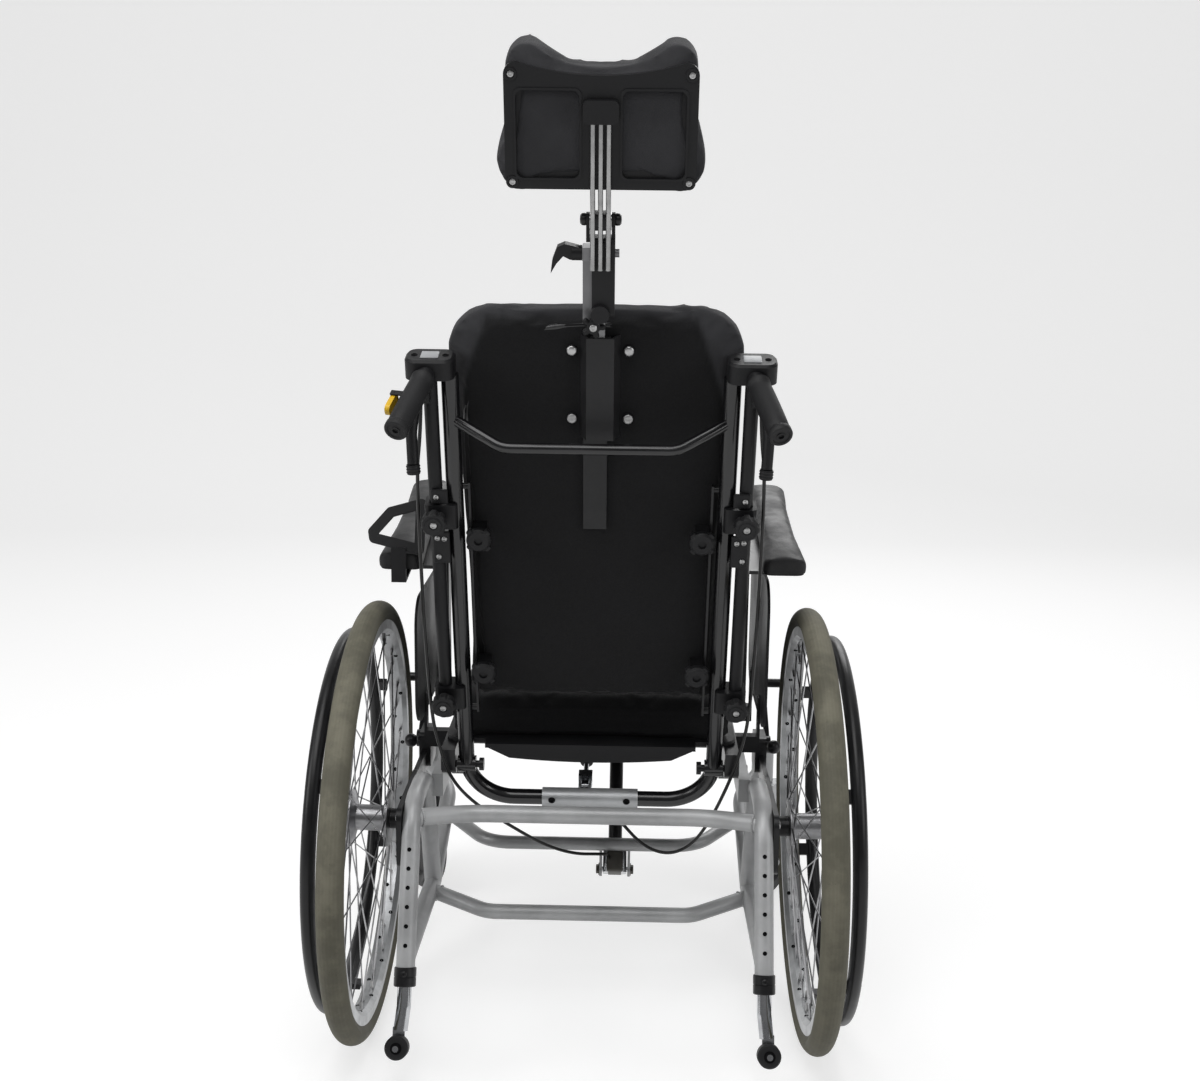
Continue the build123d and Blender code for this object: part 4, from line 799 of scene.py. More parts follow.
@dataclass
class Studio:
    """Pale floor that curves up behind the chair, soft lamps and the camera."""

    camera_place: Point = (0.0496, -2.10111, 1.100)
    yaw: float = -0.0197
    pitch: float = 0.19617
    roll: float = 0.0126
    lens: float = 44.826
    floor_colour: Colour = (0.50, 0.50, 0.50)
    floor_glow: float = 0.62
    sky_low: float = 0.10
    sky_high: float = 0.34
    floor_reach: float = 7.0
    floor_drop: float = 0.0005
    wall_distance: float = 5.0
    wall_height: float = 6.0
    bend: float = 1.5
    bend_steps: int = 8

    def build(self) -> None:
        """Set up floor, lamps, world and camera."""
        self.view_settings()
        self.floor()
        self.world()
        self.lamps()
        self.camera()

    @staticmethod
    def view_settings() -> None:
        """Plain colours in the picture."""
        bpy.context.scene.view_settings.view_transform = "Standard"

    def camera(self) -> None:
        """Camera at the photograph's angle, from the wheels' outlines."""
        ahead = Vector((math.sin(self.yaw) * math.cos(self.pitch), math.cos(self.yaw) * math.cos(self.pitch),
                        -math.sin(self.pitch)))
        level = Vector((math.cos(self.yaw), -math.sin(self.yaw), 0))
        above = level.cross(ahead)
        right = level * math.cos(self.roll) + above * math.sin(self.roll)
        up = above * math.cos(self.roll) - level * math.sin(self.roll)
        data = bpy.data.cameras.new("camera")
        data.lens = self.lens
        data.sensor_width = 36.0
        data.sensor_fit = "HORIZONTAL"
        data.dof.use_dof = False
        camera = bpy.data.objects.new("camera", data)
        turn = Matrix((right, up, -ahead)).transposed().to_4x4()
        camera.matrix_world = Matrix.Translation(self.camera_place) @ turn
        bpy.context.scene.collection.objects.link(camera)
        bpy.context.scene.camera = camera

    def floor(self) -> None:
        """One sheet: flat under the chair, rising in a wide bend ahead of it."""
        form = bmesh.new()
        foot = self.wall_distance - self.bend
        profile = [(-self.floor_reach, 0.0), (foot, 0.0)]
        for step in range(1, self.bend_steps + 1):
            angle = math.radians(90 * step / self.bend_steps)
            profile.append((foot + self.bend * math.sin(angle), self.bend - self.bend * math.cos(angle)))
        profile.append((self.wall_distance, self.wall_height))
        verts = [form.verts.new((-self.floor_reach, y, z - self.floor_drop)) for y, z in profile]
        edges = [form.edges.new(pair) for pair in zip(verts, verts[1:])]
        grown = bmesh.ops.extrude_edge_only(form, edges=edges)["geom"]
        moved = [item for item in grown if isinstance(item, bmesh.types.BMVert)]
        bmesh.ops.translate(form, vec=(2 * self.floor_reach, 0, 0), verts=moved)
        bmesh.ops.recalc_face_normals(form, faces=form.faces)
        for face in form.faces:
            face.smooth = True
        mesh = bpy.data.meshes.new("floor")
        form.to_mesh(mesh)
        form.free()
        mesh.materials.append(self.floor_material())
        floor = bpy.data.objects.new("floor", mesh)
        bpy.context.scene.collection.objects.link(floor)

    def floor_material(self) -> bpy.types.Material:
        """Pale paper that keeps a soft shadow."""
        shader = Shader("floor_paper")
        seen = shader.node("ShaderNodeLightPath", output="Is Camera Ray")
        outputs = seen.socket.node.outputs
        mirrored = seen + Value(shader, outputs["Is Glossy Ray"])
        mirrored = mirrored + Value(shader, outputs["Is Transmission Ray"])
        paper = shader.node("ShaderNodeBsdfDiffuse", {}, {"Color": (*self.floor_colour, 1.0)})
        strength = mirrored * self.floor_glow
        glow = shader.node("ShaderNodeEmission", {}, {"Color": (1, 1, 1, 1), "Strength": strength})
        both = shader.node("ShaderNodeAddShader", {}, {0: paper, 1: glow})
        shader.node("ShaderNodeOutputMaterial", {}, {"Surface": both})
        return shader.material

    def world(self) -> None:
        """Even white surroundings, brighter overhead."""
        world = bpy.data.worlds.new("studio")
        bpy.context.scene.world = world
        world.use_nodes = True
        tree = world.node_tree
        background = tree.nodes["Background"]
        path = tree.nodes.new("ShaderNodeLightPath")
        spot = tree.nodes.new("ShaderNodeTexCoord")
        split = tree.nodes.new("ShaderNodeSeparateXYZ")
        rise = tree.nodes.new("ShaderNodeMapRange")
        rise.inputs["From Min"].default_value = -0.2
        rise.inputs["From Max"].default_value = 0.9
        rise.inputs["To Min"].default_value = self.sky_low
        rise.inputs["To Max"].default_value = self.sky_high
        shown = tree.nodes.new("ShaderNodeMix")
        tree.links.new(spot.outputs["Generated"], split.inputs[0])
        tree.links.new(split.outputs["Z"], rise.inputs["Value"])
        tree.links.new(path.outputs["Is Camera Ray"], shown.inputs[0])
        tree.links.new(rise.outputs[0], shown.inputs[2])
        shown.inputs[3].default_value = 1.0
        tree.links.new(shown.outputs[0], background.inputs["Strength"])
        background.inputs["Color"].default_value = (1, 1, 1, 1)

    @staticmethod
    def lamps() -> None:
        """Four wide lamps: one over the camera, one at each side and one beyond the chair."""
        for name, place, aim, size, power in (
                ("top_lamp", (-0.5, -1.3, 3.4), (0, 0, 0.6), 2.4, 60.0),
                ("left_lamp", (-3.0, -1.6, 1.9), (0, 0, 0.6), 1.6, 34.0),
                ("right_lamp", (3.0, -1.9, 1.7), (0, 0, 0.6), 1.6, 26.0),
                ("rim_lamp", (0.8, 2.8, 2.6), (0, 0, 0.9), 1.8, 34.0)):
            data = bpy.data.lights.new(name, "AREA")
            data.shape = "SQUARE"
            data.size = size
            data.energy = power
            lamp = bpy.data.objects.new(name, data)
            lamp.location = place
            lamp.rotation_euler = (Vector(aim) - Vector(place)).to_track_quat("-Z", "Y").to_euler()
            bpy.context.scene.collection.objects.link(lamp)


# ---------------------------------------------------------------- soft goods


@dataclass
class PaddedCover:
    """A cover blown up over its foam by cloth simulation, then sewn."""

    frame: Frame
    node: str
    name: str
    body: str
    finish: Finish
    slot: str = "cushion_cloth"
    shrink: float = 3 * MM
    voxel: float = 5 * MM
    pressure: float = 4.0
    cap: float = 12 * MM
    fill: float = 0.7
    frames: int = 20
    stiffness: float = 12.0
    bending: float = 0.6
    smoothings: int = 3
    merge_distance: float = 0.02 * MM

    def build(self) -> bpy.types.Object:
        """Make the cover in place of its CAD node.

        Returns:
            The finished piece.
        """
        piece = self.start()
        self.remesh(piece)
        self.inflate(piece)
        return piece

    def finish_off(self, piece: bpy.types.Object) -> bpy.types.Object:
        """Args:
            piece: the sewn cover.

        Returns:
            The same piece.
        """
        for face in piece.data.polygons:
            face.use_smooth = True
        modifier = piece.modifiers.new("Subdivision", "SUBSURF")
        modifier.levels = 1
        modifier.render_levels = 1
        self.frame.place(piece, self.finish, self.body, self.slot)
        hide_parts(self.node)
        return piece

    def start(self) -> bpy.types.Object:
        """A merged copy of the foam."""
        form = bmesh.new()
        form.from_mesh(self.frame.loaded["nodes"][self.node].data)
        bmesh.ops.remove_doubles(form, verts=form.verts, dist=self.merge_distance)
        form.normal_update()
        mesh = bpy.data.meshes.new(self.name)
        form.to_mesh(mesh)
        form.free()
        piece = bpy.data.objects.new(self.name, mesh)
        bpy.context.scene.collection.objects.link(piece)
        return piece

    def remesh(self, piece: bpy.types.Object) -> None:
        """Even quads over the whole foam, drawn in by the shrink.

        Args:
            piece: the cover.
        """
        voxels = piece.modifiers.new("Voxels", "REMESH")
        voxels.mode = "VOXEL"
        voxels.voxel_size = self.voxel
        self.settle(piece)
        form = bmesh.new()
        form.from_mesh(piece.data)
        for _ in range(self.smoothings):
            bmesh.ops.smooth_vert(form, verts=form.verts, factor=0.5, use_axis_x=True, use_axis_y=True,
                                  use_axis_z=True)
        form.normal_update()
        for vert in form.verts:
            vert.co -= vert.normal * self.shrink
        form.to_mesh(piece.data)
        form.free()

    @staticmethod
    def settle(piece: bpy.types.Object) -> None:
        """Keep the shape that the modifiers give, and drop them.

        Args:
            piece: the cover.
        """
        graph = bpy.context.evaluated_depsgraph_get()
        shaped = bpy.data.meshes.new_from_object(piece.evaluated_get(graph))
        piece.modifiers.clear()
        piece.data = shaped

    def inflate(self, piece: bpy.types.Object) -> None:
        """Blow the cover up as cloth and cap how far each point goes.

        Args:
            piece: the cover.
        """
        rest = [vert.co.copy() for vert in piece.data.vertices]
        cloth = piece.modifiers.new("Cloth", "CLOTH")
        settings = cloth.settings
        settings.quality = 5
        settings.use_pressure = True
        settings.uniform_pressure_force = self.pressure
        settings.tension_stiffness = self.stiffness
        settings.compression_stiffness = self.stiffness
        settings.bending_stiffness = self.bending
        settings.effector_weights.gravity = 0
        cloth.point_cache.frame_end = self.frames
        scene = bpy.context.scene
        for step in range(1, self.frames + 1):
            scene.frame_set(step)
        self.settle(piece)
        scene.frame_set(1)
        for vert, start in zip(piece.data.vertices, rest):
            move = vert.co - start
            if move.length > self.cap:
                vert.co = start + move * (self.cap / move.length)


@dataclass
class Seam:
    """A sewn line on a cover: the cloth dips to it."""

    points: Sequence[Vector]
    width: float = 7 * MM
    depth: float = 3 * MM

    def sew(self, piece: bpy.types.Object) -> None:
        """Draw the cloth in along the line.

        Args:
            piece: the cover.
        """
        runs = [(a, b - a) for a, b in zip(self.points, self.points[1:])]
        low = Vector([min(p[i] for p in self.points) for i in range(3)]) - Vector((1, 1, 1)) * self.width * 3
        high = Vector([max(p[i] for p in self.points) for i in range(3)]) + Vector((1, 1, 1)) * self.width * 3
        normals = [vert.normal.copy() for vert in piece.data.vertices]
        for vert, normal in zip(piece.data.vertices, normals):
            if any(vert.co[i] < low[i] or vert.co[i] > high[i] for i in range(3)):
                continue
            near = min(self.distance(vert.co, start, run) for start, run in runs)
            if near < 3 * self.width:
                vert.co -= normal * (self.depth * math.exp(-(near / self.width) ** 2))

    @staticmethod
    def distance(spot: Vector, start: Vector, run: Vector) -> float:
        """Distance from a point to one run of the line."""
        share = max(0.0, min(1.0, (spot - start).dot(run) / run.length_squared))
        return (spot - start - run * share).length


def surface_line(piece: bpy.types.Object, points: Sequence[Vector], steps: int) -> list[Vector]:
    """Lay a line of points on a piece's surface.

    Args:
        piece: the piece.
        points: corners of the line, near the surface.
        steps: points between two corners.

    Returns:
        The points on the surface.
    """
    tree = BVHTree.FromPolygons([vert.co for vert in piece.data.vertices],
                                [tuple(face.vertices) for face in piece.data.polygons])
    line = []
    for start, end in zip(points, points[1:]):
        for step in range(steps):
            line.append(tree.find_nearest(start.lerp(end, step / steps))[0])
    line.append(tree.find_nearest(points[-1])[0])
    return line


def cord_curve(name: str, points: Sequence[Vector], radius: float, roundness: int,
               steps: int) -> bpy.types.Curve:
    """Round cord along a line of points.

    Args:
        name: the curve's name.
        points: its points.
        radius: its radius.
        roundness: resolution of its section.
        steps: resolution between two points.

    Returns:
        The curve.
    """
    curve = bpy.data.curves.new(name, "CURVE")
    curve.dimensions = "3D"
    curve.bevel_depth = radius
    curve.bevel_resolution = roundness
    curve.use_fill_caps = True
    spline = curve.splines.new("NURBS")
    spline.points.add(len(points) - 1)
    for point, spot in zip(spline.points, points):
        point.co = (*spot, 1.0)
    spline.order_u = 3
    spline.use_endpoint_u = True
    spline.resolution_u = steps
    return curve


def piping(frame: Frame, name: str, line: Sequence[Vector], radius: float, finish: Finish,
           body: str) -> bpy.types.Object:
    """A thin sewn cord along a line, as a mesh.

    Args:
        frame: the chair.
        name: the piece's name.
        line: its points.
        radius: its radius.
        finish: its finish.
        body: the CAD body that carries it.

    Returns:
        The new piece.
    """
    holder = bpy.data.objects.new(name + "_curve", cord_curve(name, line, radius, 2, 3))
    bpy.context.scene.collection.objects.link(holder)
    graph = bpy.context.evaluated_depsgraph_get()
    mesh = bpy.data.meshes.new_from_object(holder.evaluated_get(graph))
    bpy.data.objects.remove(holder)
    for face in mesh.polygons:
        face.use_smooth = True
    return frame.place(bpy.data.objects.new(name, mesh), finish, body, "cushion_cloth")


# ---------------------------------------------------------------- drive wheels


@dataclass
class DriveWheel:
    """One drive wheel: finishes of its nodes, nipples and dark discs of painted hole shade on its rim, cap on
    its axle.
    """

    frame: Frame
    side: str
    radius: float = 305 * MM
    rim_inner: float = 260 * MM
    spokes: int = 36
    hub_half: float = 26 * MM

    @property
    def sign(self) -> int:
        """-1 on the left, 1 on the right."""
        return SIDES[self.side]

    @property
    def camber(self) -> float:
        """Lean of the wheel about the chair's long axis."""
        axis = self.frame.joint("drive_wheel_turn_" + self.side)["axis"]
        return -math.atan2(axis[2], axis[0])

    @property
    def place(self) -> Matrix:
        """Place of the wheel's middle, with +X along its axle to the right."""
        centre = self.frame.joint("drive_wheel_turn_" + self.side)["pos_m"]
        return Matrix.Translation(centre) @ Matrix.Rotation(self.camber, 4, "Y")

    def around(self, index: int, radius: float, across: float) -> Matrix:
        """Place on the rim, with +Z towards the hub.

        Args:
            index: number of the spoke.
            radius: distance from the axle.
            across: distance from the wheel's middle plane.

        Returns:
            The place.
        """
        turn = Matrix.Rotation(-math.radians(index * 360 / self.spokes), 4, "X")
        lift = Matrix.Translation((across, 0, radius)) @ Matrix.Rotation(math.pi, 4, "X")
        return self.place @ turn @ lift

    def build(self) -> None:
        """Dress the wheel and add its small pieces."""
        side = self.side
        centre = tuple(self.frame.joint("drive_wheel_turn_" + side)["pos_m"])
        tyre = TyreRubber("tyre_rubber_" + side, centre, self.camber, self.radius)
        self.frame.dress(tyre, "wheel_tyre_" + side)
        self.frame.dress(Finish.ALLOY, "wheel_rim_" + side)
        self.frame.dress(Finish.STEEL, "wheel_spokes_" + side)
        self.frame.dress(Finish.HANDRIM, "handrim_" + side)
        self.nipples()
        self.hole_shade_discs()
        self.axle_cap()

    def nipples(self) -> None:
        """Spoke nipples at the rim."""
        form = bmesh.new()
        for index in range(self.spokes):
            across = (-1 if index % 2 else 1) * 2.5 * MM
            outline = in_mm((0, -1), (2.6, -1), (2.2, 3), (1.7, 11), (0, 11))
            lathe(form, outline, self.around(index, self.rim_inner, across), 8)
        self.frame.add("spoke_nipples_" + self.side, form, Finish.BOLT, "drive_wheel_" + self.side,
                       "spoke_steel")

    def hole_shade_discs(self) -> None:
        """Dark discs between the spokes on the rim's inner face: painted shade that stands for its holes and
        rivets.
        """
        form = bmesh.new()
        for index in range(self.spokes):
            for across in (-6.0 * MM, 6.0 * MM):
                if (index % 2) == (across > 0):
                    continue
                outline = in_mm((0, -1), (3.0, -1), (3.0, 0.35), (2.2, 0.5), (0, 0.2))
                lathe(form, outline, self.around(index + 0.5, self.rim_inner, across * 0.9), 12)
        self.frame.add("rim_eyelets_" + self.side, form, Finish.DEEP, "drive_wheel_" + self.side, "rim_metal")

    def axle_cap(self) -> None:
        """Button of the plug-in axle in its ring."""
        form = bmesh.new()
        face = self.hub_half + 12 * MM
        where = self.place @ Matrix.Rotation(self.sign * math.pi / 2, 4, "Y")
        outline = [(6.2 * MM, face - 2 * MM), (11 * MM, face - 2 * MM), (11 * MM, face + 1 * MM),
                   (9.5 * MM, face + 2 * MM), (6.2 * MM, face + 2 * MM), (6.2 * MM, face - 2 * MM)]
        lathe(form, outline, where, 28)
        lathe(form, [(0, face - 1 * MM), (5.6 * MM, face - 1 * MM), (5.6 * MM, face + 4 * MM),
                     (4.4 * MM, face + 5 * MM), (0, face + 5 * MM)], where, 24)
        self.frame.add("axle_button_" + self.side, form, Finish.STEEL, "drive_wheel_" + self.side,
                       "spoke_steel")


# ---------------------------------------------------------------- chassis


@dataclass
class Chassis:
    """Side frames, cross tubes, axle plates, anti-tip tubes and castors."""

    frame: Frame
    frame_x: float = 238.0
    leg_corner: tuple[float, float] = (-65.0, 350.0)
    leg_angle: float = math.radians(22)
    leg_length: float = 224.33
    collar_radius: float = 14.8
    collar_length: float = 25.0
    tube_radius: float = 12.7
    hole_first: float = 59.0
    hole_pitch: float = 25.0
    holes: int = 6
    hole_radius: float = 2.96
    plate_face_x: float = 257.9
    plate_screw_places: tuple[tuple[float, float], ...] = (
        (-66, 332), (-66, 280), (72, 332), (72, 280), (140, 332), (185, 332))
    weld_scales: int = 26

    def build(self) -> None:
        """Dress the chassis and add its small pieces."""
        dress = self.frame.dress
        dress(Finish.SILVER, "side_frame_left", "side_frame_right", "cross_tubes")
        dress(Finish.DARK, "axle_plates", "brake_lever_left", "brake_lever_right")
        dress(Finish.CHROME, "anti_tip_tube_left", "anti_tip_tube_right")
        dress(Finish.CASTOR, "anti_tip_roller_left", "anti_tip_roller_right", "castor_wheel_left",
              "castor_wheel_right")
        dress(Finish.CHANNEL, "castor_fork_left", "castor_fork_right")
        for side, sign in SIDES.items():
            self.collar(side, sign)
            self.roller_bolt(side)
            self.castor_caps(side)
        self.hole_shadows()
        self.plate_bolts()
        self.welds()

    def on_leg(self, sign: int, distance: float) -> Matrix:
        """Place on a rear leg, with +Z up along it.

        Args:
            sign: side of the chair.
            distance: millimetres below the leg's top corner.

        Returns:
            The place.
        """
        corner = self.frame.at(sign * self.frame_x, *self.leg_corner)
        lean = Matrix.Rotation(-self.leg_angle, 4, "X")
        return Matrix.Translation(corner) @ lean @ Matrix.Translation((0, 0, -distance * MM))

    def collar(self, side: str, sign: int) -> None:
        """Black clamp collar at the end of the rear leg."""
        form = bmesh.new()
        half = self.collar_length / 2 * MM
        outer = self.collar_radius * MM
        bore = 10.2 * MM
        outline = [(bore, -half), (outer - 1 * MM, -half), (outer, -half + 1 * MM), (outer, -0.8 * MM),
                   (outer - 0.6 * MM, -0.3 * MM), (outer - 0.6 * MM, 0.3 * MM), (outer, 0.8 * MM),
                   (outer, half - 1.0 * MM), (outer - 1.0 * MM, half), (bore + 2.6 * MM, half)]
        where = self.on_leg(sign, self.leg_length)
        lathe(form, outline, where, 40)
        screw = where @ Matrix.Translation((0, -outer, 4 * MM)) @ Matrix.Rotation(math.pi / 2, 4, "X")
        dome_bolt(form, screw, 4 * MM, 1.6 * MM, 2 * MM)
        self.frame.add("anti_tip_collar_" + side, form, Finish.DARK, "chassis", "black_plastic")

    def roller_bolt(self, side: str) -> None:
        """Bolt head in the middle of the anti-tip roller."""
        joint = self.frame.joint("anti_tip_roll_" + side)
        middle = Vector(joint["pos_m"])
        axis = Vector(joint["axis"]).normalized()
        form = bmesh.new()
        start = middle - axis * 10 * MM
        hex_head(form, along(start, start - axis), 5.5 * MM, 4 * MM)
        self.frame.add("roller_bolt_" + side, form, Finish.DEEP, "anti_tip_" + side, "black_metal")

    def castor_caps(self, side: str) -> None:
        """Domed cap on the castor housing and bolts on the fork's axle."""
        swivel = Vector(self.frame.joint("castor_swivel_" + side)["pos_m"])
        form = bmesh.new()
        seat = Matrix.Translation((swivel.x, swivel.y, swivel.z + 56 * MM))
        lathe(form, in_mm((0, -0.2), (18.4, -0.2), (18.4, 1.8), (15, 5), (7, 7), (0, 7.4)), seat, 36)
        self.frame.add("castor_cap_" + side, form, Finish.PLASTIC, "chassis", "black_plastic")
        roll = self.frame.joint("castor_roll_" + side)
        middle, axis = Vector(roll["pos_m"]), Vector(roll["axis"]).normalized()
        form = bmesh.new()
        for way in (-1, 1):
            start = middle + axis * way * 27.5 * MM
            hex_head(form, along(start, start + axis * way), 6.5 * MM, 5 * MM)
        self.frame.add("castor_bolts_" + side, form, Finish.BOLT, "castor_fork_" + side, "silver_metal")

    def hole_shadows(self) -> None:
        """Dark insides of the adjusting holes in the rear legs."""
        form = bmesh.new()
        for sign in SIDES.values():
            for index in range(self.holes):
                on_axis = self.on_leg(sign, self.hole_first + index * self.hole_pitch)
                mouth = on_axis @ Matrix.Rotation(math.pi / 2, 4, "X")
                depth = (self.tube_radius - 1.6) * MM
                radius = self.hole_radius * MM
                outline = [(0, depth - 1 * MM), (radius, depth - 1 * MM), (radius, depth),
                           (0, depth - 0.4 * MM)]
                lathe(form, outline, mouth, 16)
        self.frame.add("adjusting_hole_shadows", form, Finish.DEEP, "chassis", "frame_paint")

    def welds(self) -> None:
        """Beads where the cross tubes and the rails meet the side frames."""
        form = bmesh.new()
        for sign in SIDES.values():
            for start, end, radius in (
                    ((self.frame_x - 16, -56, 331), (self.frame_x - 8, -60, 331), 12.2),
                    ((self.frame_x - 18, 96, 147), (self.frame_x - 9, 100, 150), 11.2),
                    ((self.frame_x - 17, 284, 199), (self.frame_x - 9, 288, 199), 10.2)):
                low = self.frame.at(sign * start[0], *start[1:])
                high = self.frame.at(sign * end[0], *end[1:])
                self.bead(form, along(low, high), radius * MM)
        self.frame.add("weld_beads", form, Finish.SILVER, "chassis", "frame_paint")

    def bead(self, form: bmesh.types.BMesh, where: Matrix, radius: float) -> None:
        """Add a ring of scales, as a weld leaves them.

        Args:
            form: the form that grows.
            where: the ring's place, with +Z along the tube.
            radius: the tube's radius.
        """
        for index in range(self.weld_scales):
            turn = Matrix.Rotation(2 * math.pi * index / self.weld_scales, 4, "Z")
            spot = where @ turn @ Matrix.Translation((radius, 0, 5 * MM)) @ Matrix.Rotation(0.5, 4, "Y")
            lathe(form, in_mm((0, -1.6), (1.5, -0.8), (1.9, 0.3), (1.2, 1.3), (0, 1.7)), spot, 8)

    def plate_bolts(self) -> None:
        """Screws that hold the axle plates and the brakes."""
        form = bmesh.new()
        for sign in SIDES.values():
            for y, z in self.plate_screw_places:
                seat = self.frame.at(sign * self.plate_face_x, y, z)
                dome_bolt(form, along(seat, seat + Vector((sign, 0, 0))), 5.5 * MM, 3.4 * MM, 2.4 * MM)
        self.frame.add("plate_screws", form, Finish.BOLT, "chassis", "silver_metal")


# ---------------------------------------------------------------- seat


@dataclass
class Seat:
    """Seat frame, pan, guards and the seat cushion."""

    frame: Frame
    spring_low: Point = (36.0, 183.0, 155.0)
    spring_high: Point = (36.0, 325.0, 370.0)
    pin_half: float = 23.8
    seam_heights: tuple[float, float] = (17.0, 36.0)
    seam_steps: int = 24

    def build(self) -> None:
        """Dress the seat and make its cushion."""
        dress = self.frame.dress
        dress(Finish.DARK, "seat_frame", "arm_support_left", "arm_support_right")
        dress(Finish.PLASTIC, "seat_pan", "side_guards", "arm_loop")
        dress(Finish.DARK, "tilt_spring_cylinder", "recline_spring_cylinder")
        dress(Finish.CHROME, "tilt_spring_rod", "recline_spring_rod")
        self.release_head()
        self.cushion()
        for side in SIDES:
            self.arm_pad(side)

    def cushion(self) -> None:
        """Seat cushion with a sewn line round its sides."""
        maker = PaddedCover(self.frame, "seat_cushion", "seat_cushion_cover", "seat", Finish.SEAT_COVER)
        piece = maker.build()
        low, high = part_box("seat_cushion")
        for lift in self.seam_heights:
            corners = [Vector((x, y, low.z + lift * MM)) for x, y in
                       ((low.x, low.y), (high.x, low.y), (high.x, high.y), (low.x, high.y), (low.x, low.y))]
            Seam(surface_line(piece, corners, self.seam_steps), width=5 * MM, depth=2.4 * MM).sew(piece)
        maker.finish_off(piece)

    def release_head(self) -> None:
        """Casting over the lower end of the tilt gas spring, with the nuts of its pin."""
        low, high = self.frame.at(*self.spring_low), self.frame.at(*self.spring_high)
        where = along(low, high)
        form = bmesh.new()
        rounded_block(form, (25.2 * MM, 37.0 * MM, 33.0 * MM), where @ Matrix.Translation((0, 0, 10 * MM)),
                      4.4 * MM, 4)
        lathe(form, in_mm((0, 0), (9, 0), (9, 6), (7, 9), (5.6, 9.5), (0, 9.5)),
              where @ Matrix.Translation((0, 0, 26 * MM)), 24)
        for way in (-1, 1):
            start = low + Vector((way * self.pin_half * MM, 0, 0))
            hex_head(form, along(start, start + Vector((way, 0, 0))), 7 * MM, 5 * MM)
        self.frame.add("spring_release_head", form, Finish.HEAD, "tilt_rod", "silver_metal")

    def arm_pad(self, side: str) -> None:
        """Soft arm pad."""
        maker = PaddedCover(self.frame, "arm_pad_" + side, "arm_pad_cover_" + side, "arm_" + side, Finish.PAD,
                            slot="pad_cloth", shrink=1.5 * MM, voxel=4 * MM, pressure=3.0, cap=5 * MM,
                            fill=0.8)
        maker.finish_off(maker.build())


# ---------------------------------------------------------------- back


